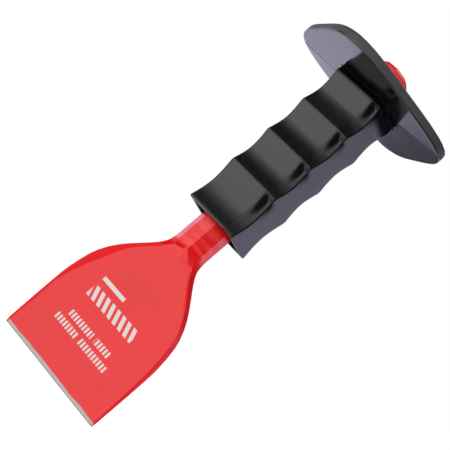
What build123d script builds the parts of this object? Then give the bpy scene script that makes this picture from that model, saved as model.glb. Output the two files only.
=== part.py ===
"""Brick bolster: a one-piece forged steel chisel in a moulded hand-guard grip.

Upright working pose. The cutting edge is centred on the origin, +Z runs up the tool's
axis to the striking face, the blade's width is along X and its thickness along Y.
All sizes are in millimetres.
"""
import math
import os

from build123d import *

# overall
LENGTH = 225.0
BLADE_WIDTH = 75.0
SHANK_FLATS = 18.2

# blade outline: half width against height, the curved side and then the neck
STRAIGHT_TOP = (37.3, 33.0)
SIDE_POINTS = [(37.3, 33.0), (35.6, 47.5), (32.9, 56.5), (29.6, 62.5), (25.0, 68.5)]
NECK_POINTS = [(25.0, 68.5), (20.0, 73.8), (15.5, 78.6), (12.0, 82.7), (10.0, 86.2), (9.1, 91.0)]
NECK_SLOPE = (-1.0, 1.12)

# blade side profile: half thickness against height
EDGE_HALF = 0.3
BEVEL_TOP = (1.6, 3.0)
ROOT = (3.4, 70.0)
RAMP_POINTS = [(3.4, 70.0), (3.9, 76.0), (5.3, 81.5), (7.3, 85.8), (9.1, 88.5)]
RAMP_TOP = 91.0

# four corners of the neck are cut back to meet the octagon
NECK_CUT_FROM = 64.0
NECK_CUT_SPREAD = 26.0

# striking head
HEAD_CHAMFER = 1.8

# grip sleeve
GRIP_BOTTOM = 107.0
GRIP_WIDE = 31.4
GRIP_DEEP = 28.9
GRIP_CORNER = 4.0
CREST_FIRST = 134.1
CREST_PITCH = 22.8
GROOVE_COUNT = 4
GROOVE_DEPTH = 2.6
HOLLOW_WALL = 2.6
HOLLOW_DEPTH = 16.0

# hand guard, a rounded square set corner-on to the blade
GUARD_BOTTOM = 206.7
GUARD_RIM = 4.9
GUARD_SIDE = 84.8
GUARD_CORNER = 23.0
GUARD_TURN = 45.0
GUARD_EDGE = 1.2
COLLAR_TOP = 216.0
COLLAR_LOW_RADIUS = 24.0
COLLAR_TOP_RADIUS = 13.5


def octagon(flats):
    """Octagon with flats facing along X and Y."""
    return RegularPolygon(flats / 2 / math.cos(math.pi / 8), 8, rotation=22.5)


# front outline of the blade, right half then mirrored
side_foot = (BLADE_WIDTH / 2, 0.0)
half_foot = Line(side_foot, STRAIGHT_TOP)
half_side = Spline(*SIDE_POINTS, tangents=[(0.0, 1.0), NECK_SLOPE])
half_neck = Spline(*NECK_POINTS, tangents=[NECK_SLOPE, (0.0, 1.0)])
right = [half_foot, half_side, half_neck]
left = [mirror(edge, about=Plane.YZ) for edge in right]
neck_end = NECK_POINTS[-1]
outline_top = Line(neck_end, (-neck_end[0], neck_end[1]))
outline_foot = Line(side_foot, (-side_foot[0], 0.0))
outline = make_face(right + left + [outline_top, outline_foot])
front_block = extrude(Plane.XZ * outline, amount=30.0, both=True)

# side profile of the blade, one half then mirrored
bevel = Line((EDGE_HALF, 0.0), BEVEL_TOP)
cheek = Line(BEVEL_TOP, ROOT)
ramp = Spline(*RAMP_POINTS, tangents=[(0.03, 1.0), (0.35, 1.0)])
ramp_end = RAMP_POINTS[-1]
ramp_stop = Line(ramp_end, (ramp_end[0], RAMP_TOP))
near = [bevel, cheek, ramp, ramp_stop]
far = [mirror(edge, about=Plane.YZ) for edge in near]
profile_top = Line((ramp_end[0], RAMP_TOP), (-ramp_end[0], RAMP_TOP))
profile_foot = Line((EDGE_HALF, 0.0), (-EDGE_HALF, 0.0))
profile = make_face(near + far + [profile_top, profile_foot])
side_block = extrude(Plane.YZ * profile, amount=60.0, both=True)

# spreading octagon that takes the neck's corners down to the shank's facets
spread_low = Pos(0, 0, NECK_CUT_FROM) * octagon(SHANK_FLATS + 2 * NECK_CUT_SPREAD)
spread_top = Pos(0, 0, RAMP_TOP) * octagon(SHANK_FLATS)
neck_cone = loft([spread_low, spread_top])
below_neck = Pos(0, 0, NECK_CUT_FROM / 2) * Box(200, 200, NECK_CUT_FROM)
blade = (front_block & side_block) & (neck_cone + below_neck)

# shank and head in one with the blade
shank = extrude(Pos(0, 0, RAMP_TOP) * octagon(SHANK_FLATS), amount=LENGTH - RAMP_TOP)
head_rim = shank.faces().sort_by(Axis.Z)[-1].edges()
shank = chamfer(head_rim, HEAD_CHAMFER)
chisel = blade + shank

# grip sleeve with finger grooves across its two broad faces
sleeve_foot = Pos(0, 0, GRIP_BOTTOM) * RectangleRounded(GRIP_WIDE, GRIP_DEEP, GRIP_CORNER)
sleeve = extrude(sleeve_foot, amount=GUARD_BOTTOM + 1.0 - GRIP_BOTTOM)
groove_radius = (CREST_PITCH / 2) ** 2 / (2 * GROOVE_DEPTH) + GROOVE_DEPTH / 2
groove_offset = GRIP_DEEP / 2 - GROOVE_DEPTH + groove_radius
for number in range(GROOVE_COUNT):
    height = CREST_FIRST + (number - 0.5) * CREST_PITCH
    for side in (-1, 1):
        place = Pos(0, side * groove_offset, height) * Rot(0, 90, 0)
        sleeve -= place * Cylinder(groove_radius, GRIP_WIDE + 10.0)

# guard plate, with a low collar on its striking side
plate_foot = Pos(0, 0, GUARD_BOTTOM) * Rot(0, 0, GUARD_TURN)
plate = extrude(plate_foot * RectangleRounded(GUARD_SIDE, GUARD_SIDE, GUARD_CORNER), amount=GUARD_RIM)
plate_rims = plate.edges().filter_by_position(Axis.Z, GUARD_BOTTOM, GUARD_BOTTOM)
plate_rims += plate.edges().filter_by_position(Axis.Z, GUARD_BOTTOM + GUARD_RIM, GUARD_BOTTOM + GUARD_RIM)
plate = fillet(plate_rims, GUARD_EDGE)
collar_base = GUARD_BOTTOM + GUARD_RIM
collar_height = COLLAR_TOP - collar_base
collar_centre = Pos(0, 0, collar_base + collar_height / 2)
collar = collar_centre * Cone(COLLAR_LOW_RADIUS, COLLAR_TOP_RADIUS, collar_height)

# the shank's bore runs right through, opening to a hollow mouth at the blade end
bore = extrude(Pos(0, 0, GRIP_BOTTOM - 5.0) * octagon(SHANK_FLATS), amount=130.0)
hollow_wide = GRIP_WIDE - 2 * HOLLOW_WALL
hollow_deep = GRIP_DEEP - 2 * HOLLOW_WALL - GROOVE_DEPTH
hollow_foot = Pos(0, 0, GRIP_BOTTOM) * RectangleRounded(hollow_wide, hollow_deep, 2.5)
hollow = extrude(hollow_foot, amount=HOLLOW_DEPTH)
grip = sleeve + plate + collar - bore - hollow

os.makedirs("parts", exist_ok=True)
export_step(chisel, "parts/chisel_body.step")
export_step(grip, "parts/guard_grip.step")
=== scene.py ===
"""Brick bolster with a moulded hand-guard grip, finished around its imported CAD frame."""
import math

import bmesh
import bpy
import numpy as np
from mathutils import Matrix, Vector


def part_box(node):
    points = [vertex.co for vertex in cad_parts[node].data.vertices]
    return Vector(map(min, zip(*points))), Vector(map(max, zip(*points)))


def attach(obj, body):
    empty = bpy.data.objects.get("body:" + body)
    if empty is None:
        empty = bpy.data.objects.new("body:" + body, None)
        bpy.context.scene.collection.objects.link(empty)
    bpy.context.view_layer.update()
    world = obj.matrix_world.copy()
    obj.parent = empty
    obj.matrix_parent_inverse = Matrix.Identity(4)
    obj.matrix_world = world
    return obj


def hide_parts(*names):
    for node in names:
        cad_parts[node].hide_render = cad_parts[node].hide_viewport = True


bl_info = {
    "name": "Brick Bolster Builder",
    "version": (1, 0, 0),
    "blender": (4, 2, 0),
    "location": "3D View > Sidebar > Bolster",
    "description": "Builds a forged brick bolster, its moulded guard grip and a plain stage",
    "category": "Object",
}

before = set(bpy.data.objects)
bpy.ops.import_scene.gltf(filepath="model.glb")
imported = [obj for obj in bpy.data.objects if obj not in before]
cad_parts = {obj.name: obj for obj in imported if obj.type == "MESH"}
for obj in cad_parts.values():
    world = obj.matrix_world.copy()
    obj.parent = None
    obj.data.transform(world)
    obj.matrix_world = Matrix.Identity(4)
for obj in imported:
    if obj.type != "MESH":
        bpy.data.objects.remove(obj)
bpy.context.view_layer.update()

MM = 0.001

# Lengths below are in millimetres, in the frame's own axes: Z up the tool, X across the blade.
TOOL_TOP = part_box("chisel_body")[1].z / MM
GRIP_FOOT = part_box("guard_grip")[0].z / MM

# Octagonal shank: half its width across flats, and half of one flat.
SHANK_HALF = 9.1
SHANK_FLAT = 3.77

# Blade outline: half width against height.
OUTLINE = (
    (0.0, 37.5), (20.0, 37.35), (33.0, 37.1), (40.0, 36.6), (47.5, 35.4), (53.0, 34.1),
    (57.5, 32.4), (62.0, 29.9), (66.0, 27.1), (70.0, 23.7), (74.0, 19.9), (77.0, 17.0),
    (80.0, 14.2), (82.5, 12.1), (85.0, 10.55), (87.5, 9.65), (90.0, 9.2), (93.0, SHANK_HALF),
)
# Right edge of the front face, where the side chamfer begins.
FACE_RIGHT = (
    (0.0, 37.0), (14.0, 36.5), (31.0, 36.0), (46.0, 34.2), (55.0, 31.6), (62.0, 28.2),
    (67.0, 24.7), (71.3, 21.1), (76.7, 15.7), (82.1, 10.4), (84.5, 7.9), (87.2, 5.0),
    (88.6, SHANK_FLAT),
)
# Left edge of the front face, cut further back by the forging's shoulder.
FACE_LEFT = (
    (0.0, 36.6), (18.0, 36.0), (31.0, 35.9), (36.0, 35.1), (43.0, 32.9), (55.0, 28.0),
    (67.0, 22.4), (71.0, 19.6), (75.0, 15.9), (80.0, 10.9), (83.5, 7.6), (86.6, 4.6),
    (88.6, SHANK_FLAT),
)
# Half thickness of the flat blade, before the neck's ramp.
CHEEK = (
    (0.0, 0.25), (2.1, 1.05), (2.6, 1.12), (31.0, 1.95), (46.0, 2.4), (55.0, 2.75), (66.0, 3.1),
    (79.0, 3.6), (91.0, 4.0),
)
# Half height of the narrow side face between the two chamfers.
SIDE_FACE = (
    (0.0, 0.05), (2.6, 0.9), (31.0, 1.8), (46.0, 2.2), (66.0, 2.75), (79.0, 3.15), (85.0, 3.4),
    (90.0, SHANK_FLAT),
)
# Least width of each chamfer, across the blade and through it.
CHAMFER_LEAST_WIDE = 0.25
CHAMFER_LEAST_DEEP = 0.1

# The fan that lifts each broad face on to the shank: where it is longest, its top and length,
# its reach to the left, how fast its foot climbs to the right, and how full its slope is.
FAN_MIDDLE = -4.0
FAN_TOP = 88.7
FAN_LENGTH = 9.1
FAN_REACH_LEFT = 7.6
FAN_FOOT_CLIMB = 0.03
FAN_FULLNESS = 0.9
# The left of the fan climbs last in a short steep step, whose foot rises to the right.
STEP_FOOT = 86.3
STEP_LEFT = -3.8
STEP_LEAN = 0.2
STEP_CLIMB = 1.1
STEP_SHARE = 0.5
STEP_FULL_AT, STEP_GONE_AT = -3.7, 3.9
# Painted shade in a dull deep red: along that step, on the neck's right facet and on the blade's right
# side.
STEP_SHADE_MIDDLE = 1.0
STEP_SHADE_REACH = 1.7
STEP_SHADE_LEFT, STEP_SHADE_RIGHT = (-4.6, -3.8), (3.6, 1.6)
FACET_SHADE_START, FACET_SHADE_END = (83.0, 85.0), (90.6, 92.2)
SIDE_SHADE_END = (48.0, 62.0)
# Where the bare edge gives way to paint, before that line wanders, and where the neck's paler
# bands and its rougher forging fade in.
PAINT_LINE = (2.6, 2.8)
NECK_BANDS_START = (87.0, 91.0)
NECK_ROUGH_START = (84.0, 90.0)

# An eased corner takes at most this share of the run on either side of it.
CORNER_REACH = 0.42
# Points across a broad face, an extra one just inside each edge, and the eased corners.
FACE_COLUMNS = 19
EDGE_COLUMN = 0.012
FORGED_EASE = 0.35
FORGED_EASE_POINTS = 4
# The struck head above the shank's last full ring: each ring's height and width.
HEAD_FOOT = 222.0
HEAD_RINGS = (
    (223.0, 1.0), (223.3, 0.992), (223.6, 0.965), (224.6, 0.85), (224.85, 0.81), (224.97, 0.77),
    (TOOL_TOP, 0.70),
)

# Grip section: half sizes, and the chamfer along one long corner of each broad face.
GRIP_HALF_WIDE = 15.7
GRIP_HALF_DEEP = 14.45
CHAMFER_INNER = 10.3
CHAMFER_OUTER = 10.6
PLAIN_CORNER_EASE = 1.6
CHAMFER_EASE = 0.8
# Points across the broad front and down the narrow right side, between the eased corners.
FRONT_COLUMNS = (*np.linspace(-12.5, 0.0, 9), *np.linspace(0.0, 8.6, 7)[1:])
SIDE_COLUMNS = (*np.linspace(-8.0, 0.0, 6), *np.linspace(0.0, 11.0, 8)[1:])
# How deep the thumb scoop lies at each place across that chamfer, and on its outer edge.
SCOOP_ACROSS = (
    (0.05, 0.0), (0.18, 0.06), (0.3, 0.26), (0.43, 0.54), (0.56, 0.8), (0.7, 0.96), (0.86, 1.0),
)
SCOOP_AT_EDGE = 0.85
# The scooped strip between the chamfer's eased edges, as shares of its width.
SCOOP_STRIP_START, SCOOP_STRIP = 0.1, 0.8
# The scoop runs out on to the narrow side: its share there, and where it is full and gone.
SCOOP_ON_SIDE = 0.425
SCOOP_SIDE_FULL, SCOOP_SIDE_GONE = -8.0, -4.0

# Finger grooves along the sleeve.
GROOVE_DEPTH = 3.0
FIRST_CREST = 134.4
CREST_PITCH = 22.8
CREST_SOFTNESS = 0.11
SCOOP_DEPTH = 1.9
# The thumb scoop: the way it is pressed, how close to the next crest it lies, and the factor
# that brings that outline to about one.
SCOOP_DIRECTION = (-0.36, 0.933, 0.0)
SCOOP_LATENESS = 6.5
SCOOP_SCALE = 18.0

# Sleeve's rounded lip at the mouth: each ring's inset and height above the foot.
MOUTH_LIP = ((0.5, 0.0), (0.15, 0.15), (0.0, 0.5))
# Above the lip: where the plain rings start, and the distance between them.
SLEEVE_START = 1.4
SLEEVE_STEP = 0.6
# Hollow inside the mouth: each ring's height, and its share of the sleeve's width and depth.
HOLLOW_TOP = 123.0
HOLLOW_RINGS = (
    (HOLLOW_TOP, 0.76, 0.66), (HOLLOW_TOP - 4.0, 0.79, 0.69), (GRIP_FOOT + 4.0, 0.82, 0.74),
    (GRIP_FOOT + 1.0, 0.83, 0.80), (GRIP_FOOT + 0.2, 0.84, 0.815), (GRIP_FOOT, 0.86, 0.84),
)
# The bore bites very slightly into the steel. Its skin has rings at these heights on the way.
BORE_HALF = SHANK_HALF - 0.05
BORE_MIDDLES = (180.0, 150.0)

# Hand guard: a rounded square, corner-on to the blade, with a hipped underside.
GUARD_FLOOR = 206.75
ROOT_FILLET = 0.5
FILLET_STEPS = 6
GUARD_RIM = 5.0
GUARD_HALF = 42.4
GUARD_POWER = 3.9
GUARD_RISE = 1.2
UNDERSIDE_STEPS = 14
# How far inside the rim the underside ends, and how fast the grooves die out across it.
UNDERSIDE_INSET = 0.9
GROOVE_FADE = 2.2
# Rim: each ring's inset, and its height above the underside's edge.
RIM_TOP_INSET = 1.2
RIM_RINGS = (
    (0.35, 0.05), (0.1, 0.25), (0.0, 0.7), (0.0, 1.6), (0.0, 2.8), (0.0, GUARD_RIM - 1.4),
    (0.12, GUARD_RIM - 0.7), (0.5, GUARD_RIM - 0.2), (RIM_TOP_INSET, GUARD_RIM),
)
# Striking side: a gentle rise, then a collar round the steel.
TOP_RISE = 1.6
TOP_STEPS = 16
COLLAR_TOP = 216.0
COLLAR_FOOT = 14.0
COLLAR_EDGE = 0.6
# Share of the way in at which the collar starts to rise.
COLLAR_START = 0.6
COLLAR_RINGS = ((13.6, COLLAR_TOP - 0.15), (13.0, COLLAR_TOP), (11.0, COLLAR_TOP))

# Where the black painted shade begins and is full below the guard, on the sleeve's narrow and broad sides.
NARROW_SHADE = (196.0, 200.5)
BROAD_SHADE = (201.0, 203.5)
NARROW_SIDE = GRIP_HALF_WIDE - 0.5
# Painted shade under the guard: none on the sleeve's corners, and how fast it thins outwards.
UNSHADED_CORNER = math.sqrt(2) * 11.3
CORNER_FADE = 3.0
SHADE_FADE = 4.0

# How far the floor lies below the cutting edge.
FLOOR_GAP = 0.3


def lookup(table, value):
    """Reads a height table, straight between its entries and level past them."""
    heights = [row[0] for row in table]
    sizes = [row[1] for row in table]
    return float(np.interp(value, heights, sizes))


def smooth(value):
    """Eases from 0 to 1, and stays there."""
    value = min(max(value, 0.0), 1.0)
    return value * value * (3.0 - 2.0 * value)


def ramp(value, start, full):
    """Eases from 0 at the start to 1 where it is full."""
    return smooth((value - start) / (full - start))


def eased_corner(before, corner, after, radius, points):
    """Points along a curve that rounds a polygon's corner."""
    corner = np.array(corner, float)
    back = np.array(before, float) - corner
    ahead = np.array(after, float) - corner
    back_run, ahead_run = np.linalg.norm(back), np.linalg.norm(ahead)
    reach = min(radius, CORNER_REACH * back_run, CORNER_REACH * ahead_run)
    first = corner + back / back_run * reach
    last = corner + ahead / ahead_run * reach
    eased = []
    for step in range(points):
        t = step / (points - 1)
        eased.append(tuple((1 - t) ** 2 * first + 2 * t * (1 - t) * corner + t * t * last))
    return eased


def polar_ring(angles, reaches, height):
    """A level ring from each point's direction and reach."""
    return [(reach * math.cos(angle), reach * math.sin(angle), height)
            for angle, reach in zip(angles, reaches)]


def loft_rings(name, rings, wrap=False):
    """Skins equal rings into a closed mesh, capped at both ends or wrapped to the first ring."""
    count = len(rings[0])
    verts = [(x * MM, y * MM, z * MM) for ring in rings for x, y, z in ring]
    faces = []
    for level in range(len(rings) if wrap else len(rings) - 1):
        low = level * count
        high = (level + 1) % len(rings) * count
        for step in range(count):
            ahead = (step + 1) % count
            faces.append((low + step, low + ahead, high + ahead, high + step))
    if not wrap:
        faces.append(tuple(range(count))[::-1])
        faces.append(tuple(range(len(verts) - count, len(verts))))
    mesh = bpy.data.meshes.new(name)
    mesh.from_pydata(verts, [], faces)
    mesh.update()
    obj = bpy.data.objects.new(name, mesh)
    bpy.context.scene.collection.objects.link(obj)
    shell = bmesh.new()
    shell.from_mesh(mesh)
    bmesh.ops.recalc_face_normals(shell, faces=shell.faces)
    shell.to_mesh(mesh)
    shell.free()
    for face in mesh.polygons:
        face.use_smooth = True
    return obj


def keep_shares(obj, name, shares):
    """Gives each vertex its share, in the order in which the rings were laid."""
    obj.data.attributes.new(name, "FLOAT", "POINT")
    obj.data.attributes[name].data.foreach_set("value", shares)


def weigh_normals(obj):
    """Lets broad flats keep their own direction beside the narrow eased edges."""
    weighted = obj.modifiers.new("Flats stay flat", "WEIGHTED_NORMAL")
    weighted.weight = 100
    weighted.keep_sharp = True


# ---------------------------------------------------------------- chisel

def step_foot(x):
    """Height where the fan's steep last step begins, at this place across the face."""
    return STEP_FOOT + STEP_LEAN * (x - STEP_LEFT)


def face_height(x, z):
    """How far the broad face stands from the middle plane, up the blade, fan and shank."""
    if z >= FAN_TOP:
        return SHANK_HALF
    cheek = lookup(CHEEK, z)
    if x > FAN_MIDDLE:
        length = FAN_LENGTH * (1.0 - FAN_FOOT_CLIMB * (x - FAN_MIDDLE))
    else:
        across = min((FAN_MIDDLE - x) / FAN_REACH_LEFT, 1.0)
        length = FAN_LENGTH * (1.0 - across ** 4) ** 0.25
    below_top = FAN_TOP - z
    if below_top >= length:
        return cheek
    slope = 1.0 - (below_top / length) ** FAN_FULLNESS
    step = smooth((z - step_foot(x)) / STEP_CLIMB)
    step_share = STEP_SHARE * ramp(x, STEP_GONE_AT, STEP_FULL_AT)
    lift = (1.0 - step_share) * slope + step_share * step
    return cheek + (SHANK_HALF - cheek) * lift


def step_shade(x, z):
    """Share of dull red painted shade along the fan's step."""
    off_step = abs(z - step_foot(x) - STEP_SHADE_MIDDLE)
    across = ramp(x, *STEP_SHADE_LEFT) * ramp(x, *STEP_SHADE_RIGHT)
    return smooth(STEP_SHADE_REACH - off_step) * across


def chisel_section(z):
    """One closed ring of the forging, each point with its share of dull red painted shade."""
    half = lookup(OUTLINE, z)
    right = min(lookup(FACE_RIGHT, z), half - CHAMFER_LEAST_WIDE)
    left = min(lookup(FACE_LEFT, z), half - CHAMFER_LEAST_WIDE)
    side = min(lookup(SIDE_FACE, z), face_height(right, z) - CHAMFER_LEAST_DEEP)
    inner = [column / (FACE_COLUMNS + 1) for column in range(1, FACE_COLUMNS + 1)]
    front = []
    for across in [0.0, EDGE_COLUMN] + inner + [1.0 - EDGE_COLUMN, 1.0]:
        x = -left + (right + left) * across
        front.append((x, -face_height(x, z)))
    corners = [(-half, -side)] + front + [(half, -side)]
    outline = corners + [(-x, -y) for x, y in corners]

    # Dull red painted shade: on the left bevel below the shank, along the fan's step, on the neck's right
    # facet and on the narrow sides.
    bevel = 1.0 if z < FAN_TOP else 0.0
    facet = ramp(z, *FACET_SHADE_START) * (1.0 - ramp(z, *FACET_SHADE_END))
    low_side = 1.0 - ramp(z, *SIDE_SHADE_END)
    shaded_share = [bevel, bevel]
    shaded_share += [step_shade(x, z) for x, _ in front[1:-1]]
    shaded_share += [facet, max(low_side, facet)]

    ring = []
    for index, (point, share) in enumerate(zip(outline, shaded_share + shaded_share)):
        place = index % len(corners)
        if place in (0, 1, len(corners) - 2, len(corners) - 1):
            after = outline[(index + 1) % len(outline)]
            eased = eased_corner(outline[index - 1], point, after, FORGED_EASE, FORGED_EASE_POINTS)
            ring += [(x, y, share) for x, y in eased]
        else:
            ring.append((*point, share))
    return ring


def chisel_heights():
    """Heights of the forging's rings: close at the edge and the fan, wide apart on the shank."""
    heights = [0.0, 0.5, 1.2, 2.0, 2.3, 2.8, 3.6]
    heights += [5.0 + 2.0 * step for step in range(28)]
    heights += [61.0 + 1.0 * step for step in range(15)]
    heights += [76.0 + 0.35 * step for step in range(37)]
    heights += [89.3, 90.0, 91.0, 92.5, 95.0, 100.0, 110.0, 130.0, 160.0, 190.0, 210.0, 218.0]
    return heights + [HEAD_FOOT]


def build_chisel():
    """The whole forging as one closed skin, from the cutting edge to the striking face."""
    rings, shares = [], []
    for z in chisel_heights():
        section = chisel_section(z)
        rings.append([(x, y, z) for x, y, _ in section])
        shares += [share for _, _, share in section]
    for z, width in HEAD_RINGS:
        rings.append([(x * width, y * width, z) for x, y, _ in section])
        shares += [0.0] * len(section)
    chisel = loft_rings("forged_chisel", rings)
    # The shares of dull red painted shade.
    keep_shares(chisel, "painted_shade_red", shares)
    return chisel


# ---------------------------------------------------------------- grip and guard

def grip_section():
    """Points round the sleeve, each with its share of the finger grooves and of the scoops."""
    wide, deep = GRIP_HALF_WIDE, GRIP_HALF_DEEP
    left = (-wide, -deep)
    inner = (CHAMFER_INNER, -deep)
    outer = (wide, -CHAMFER_OUTER)
    far = (wide, deep)
    far_left = (-wide, CHAMFER_OUTER)
    points = []
    for x, y in eased_corner(far_left, left, inner, PLAIN_CORNER_EASE, 6):
        points.append((x, y, 1.0, 0.0))
    for x in FRONT_COLUMNS:
        points.append((x, -deep, 1.0, 0.0))
    for x, y in eased_corner(left, inner, outer, CHAMFER_EASE, 5):
        points.append((x, y, 1.0, 0.0))
    for share, scoop in SCOOP_ACROSS:
        across = SCOOP_STRIP_START + SCOOP_STRIP * share
        x = inner[0] + (outer[0] - inner[0]) * across
        y = inner[1] + (outer[1] - inner[1]) * across
        points.append((x, y, 1.0, scoop))
    for x, y in eased_corner(inner, outer, far, CHAMFER_EASE, 5):
        points.append((x, y, 1.0, SCOOP_AT_EDGE))
    for y in SIDE_COLUMNS:
        groove = 1.0 - 2.0 * (y + CHAMFER_OUTER) / (deep + CHAMFER_OUTER)
        scoop = SCOOP_ON_SIDE * ramp(y, SCOOP_SIDE_GONE, SCOOP_SIDE_FULL)
        points.append((wide, y, groove, scoop))
    turned = [(-x, -y, -groove, -scoop) for x, y, groove, scoop in points]
    return points + turned


def guard_radius(angle):
    """Reach of the rounded square guard, which stands corner-on to the blade."""
    turned = angle + math.pi / 4
    total = abs(math.cos(turned)) ** GUARD_POWER + abs(math.sin(turned)) ** GUARD_POWER
    return GUARD_HALF * total ** (-1.0 / GUARD_POWER)


def octagon_radius(angle, half):
    """Reach of an octagon with this half width across its flats."""
    return half / max(math.cos(angle - step * math.pi / 4) for step in range(8))


def off_diagonals(x, y):
    """The larger of a point's distances from the two diagonals."""
    return max(abs(x + y), abs(x - y)) / math.sqrt(2)


def underside_height(x, y):
    """The guard's underside is very slightly hipped, with its folds on the corners."""
    return GUARD_FLOOR - GUARD_RISE * (1.0 - off_diagonals(x, y) / GUARD_HALF)


# Each row below is a ring, its points' groove and scoop shares, and its points' shares of painted shade.

def sleeve_rows(outline, angles, full):
    """Outside of the sleeve, from the mouth's lip up to the guard."""
    rows = []
    unshaded = [0.0] * len(outline)
    for inset, rise in MOUTH_LIP:
        ring = []
        for (x, y), angle in zip(outline, angles):
            px, py = x - inset * math.cos(angle), y - inset * math.sin(angle)
            ring.append((px, py, GRIP_FOOT + rise))
        rows.append((ring, full, unshaded))
    sleeve_top = GUARD_FLOOR - ROOT_FILLET - 1.0
    for z in np.arange(GRIP_FOOT + SLEEVE_START, sleeve_top, SLEEVE_STEP):
        # Painted shade: the sleeve turns black towards the guard, where shade falls.
        painted_shade = [ramp(z, *(NARROW_SHADE if abs(x) > NARROW_SIDE else BROAD_SHADE)) for x, _ in outline]
        rows.append(([(x, y, z) for x, y in outline], full, painted_shade))
    return rows


def underside_rows(outline, angles, edge, full):
    """Small fillet in the root, then the guard's underside out to its rim."""
    rows = []
    for step in range(FILLET_STEPS + 1):
        turn = math.pi / 2 * step / FILLET_STEPS
        out = ROOT_FILLET * (1.0 - math.cos(turn))
        down = ROOT_FILLET * (1.0 - math.sin(turn))
        ring = []
        for (x, y), angle in zip(outline, angles):
            px, py = x + out * math.cos(angle), y + out * math.sin(angle)
            ring.append((px, py, underside_height(px, py) - down))
        # The root fillet is all in painted shade.
        rows.append((ring, full, [1.0] * len(ring)))
    # Painted shade spreads over the underside from the sleeve's broad sides and thins outwards.
    off_corner = [smooth((UNSHADED_CORNER - off_diagonals(x, y)) / CORNER_FADE) for x, y in outline]
    for step in range(1, UNDERSIDE_STEPS + 1):
        t = step / UNDERSIDE_STEPS
        groove_left = 1.0 - smooth(t * GROOVE_FADE)
        shade_left = 1.0 - smooth(t * SHADE_FADE)
        ring = []
        for (x, y), angle, reach in zip(outline, angles, edge):
            start = math.hypot(x, y) + ROOT_FILLET
            radius = start + (reach - UNDERSIDE_INSET - start) * t
            px, py = radius * math.cos(angle), radius * math.sin(angle)
            ring.append((px, py, underside_height(px, py)))
        shares = [(groove * groove_left, 0.0) for groove, _ in full]
        rows.append((ring, shares, [share * shade_left for share in off_corner]))
    return rows


def top_rows(angles, edge):
    """Guard's rim, then its striking side, rising to a collar round the steel."""
    rings = []
    for inset, rise in RIM_RINGS:
        rings.append(polar_ring(angles, [reach - inset for reach in edge], GUARD_FLOOR + rise))
    rim_top = GUARD_FLOOR + GUARD_RIM
    collar_rise = COLLAR_TOP - COLLAR_EDGE - rim_top - TOP_RISE
    for step in range(1, TOP_STEPS + 1):
        t = step / TOP_STEPS
        z = rim_top + TOP_RISE * smooth(t) + collar_rise * ramp(t, COLLAR_START, 1.0)
        reaches = []
        for reach in edge:
            start = reach - RIM_TOP_INSET
            reaches.append(start + (COLLAR_FOOT - start) * t)
        rings.append(polar_ring(angles, reaches, z))
    for radius, z in COLLAR_RINGS:
        rings.append(polar_ring(angles, [radius] * len(angles), z))
    none, unshaded = [(0.0, 0.0)] * len(angles), [0.0] * len(angles)
    return [(ring, none, unshaded) for ring in rings]


def inside_rows(outline, angles):
    """Bore on the steel, then the hollow mouth, with painted shade inside."""
    rows = []
    none = [(0.0, 0.0)] * len(outline)
    bore = [octagon_radius(angle, BORE_HALF) for angle in angles]
    for z in (COLLAR_TOP, COLLAR_TOP - 0.5, GUARD_FLOOR, *BORE_MIDDLES, HOLLOW_TOP):
        rows.append((polar_ring(angles, bore, z), none, [0.0] * len(outline)))
    for z, wide, deep in HOLLOW_RINGS:
        # Painted shade inside the hollow mouth.
        painted_shade = 1.0 if z > GRIP_FOOT else 0.0
        ring = [(x * wide, y * deep, z) for x, y in outline]
        rows.append((ring, none, [painted_shade] * len(outline)))
    return rows


def build_grip():
    """The moulding as one closed skin: up the sleeve, over the guard and back down the bore."""
    section = grip_section()
    outline = [(x, y) for x, y, _, _ in section]
    angles = [math.atan2(y, x) for x, y in outline]
    edge = [guard_radius(angle) for angle in angles]
    full = [(groove, scoop) for _, _, groove, scoop in section]
    rows = sleeve_rows(outline, angles, full) + underside_rows(outline, angles, edge, full)
    rows += top_rows(angles, edge) + inside_rows(outline, angles)
    grip = loft_rings("guard_grip_moulding", [ring for ring, _, _ in rows], wrap=True)
    keep_shares(grip, "groove_share", [groove for _, shares, _ in rows for groove, _ in shares])
    keep_shares(grip, "scoop_share", [scoop for _, shares, _ in rows for _, scoop in shares])
    # Shares of black painted shade in the root, under the guard and in the mouth.
    keep_shares(grip, "painted_shade_share", [share for _, _, painted_shade in rows for share in painted_shade])
    return grip


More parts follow.
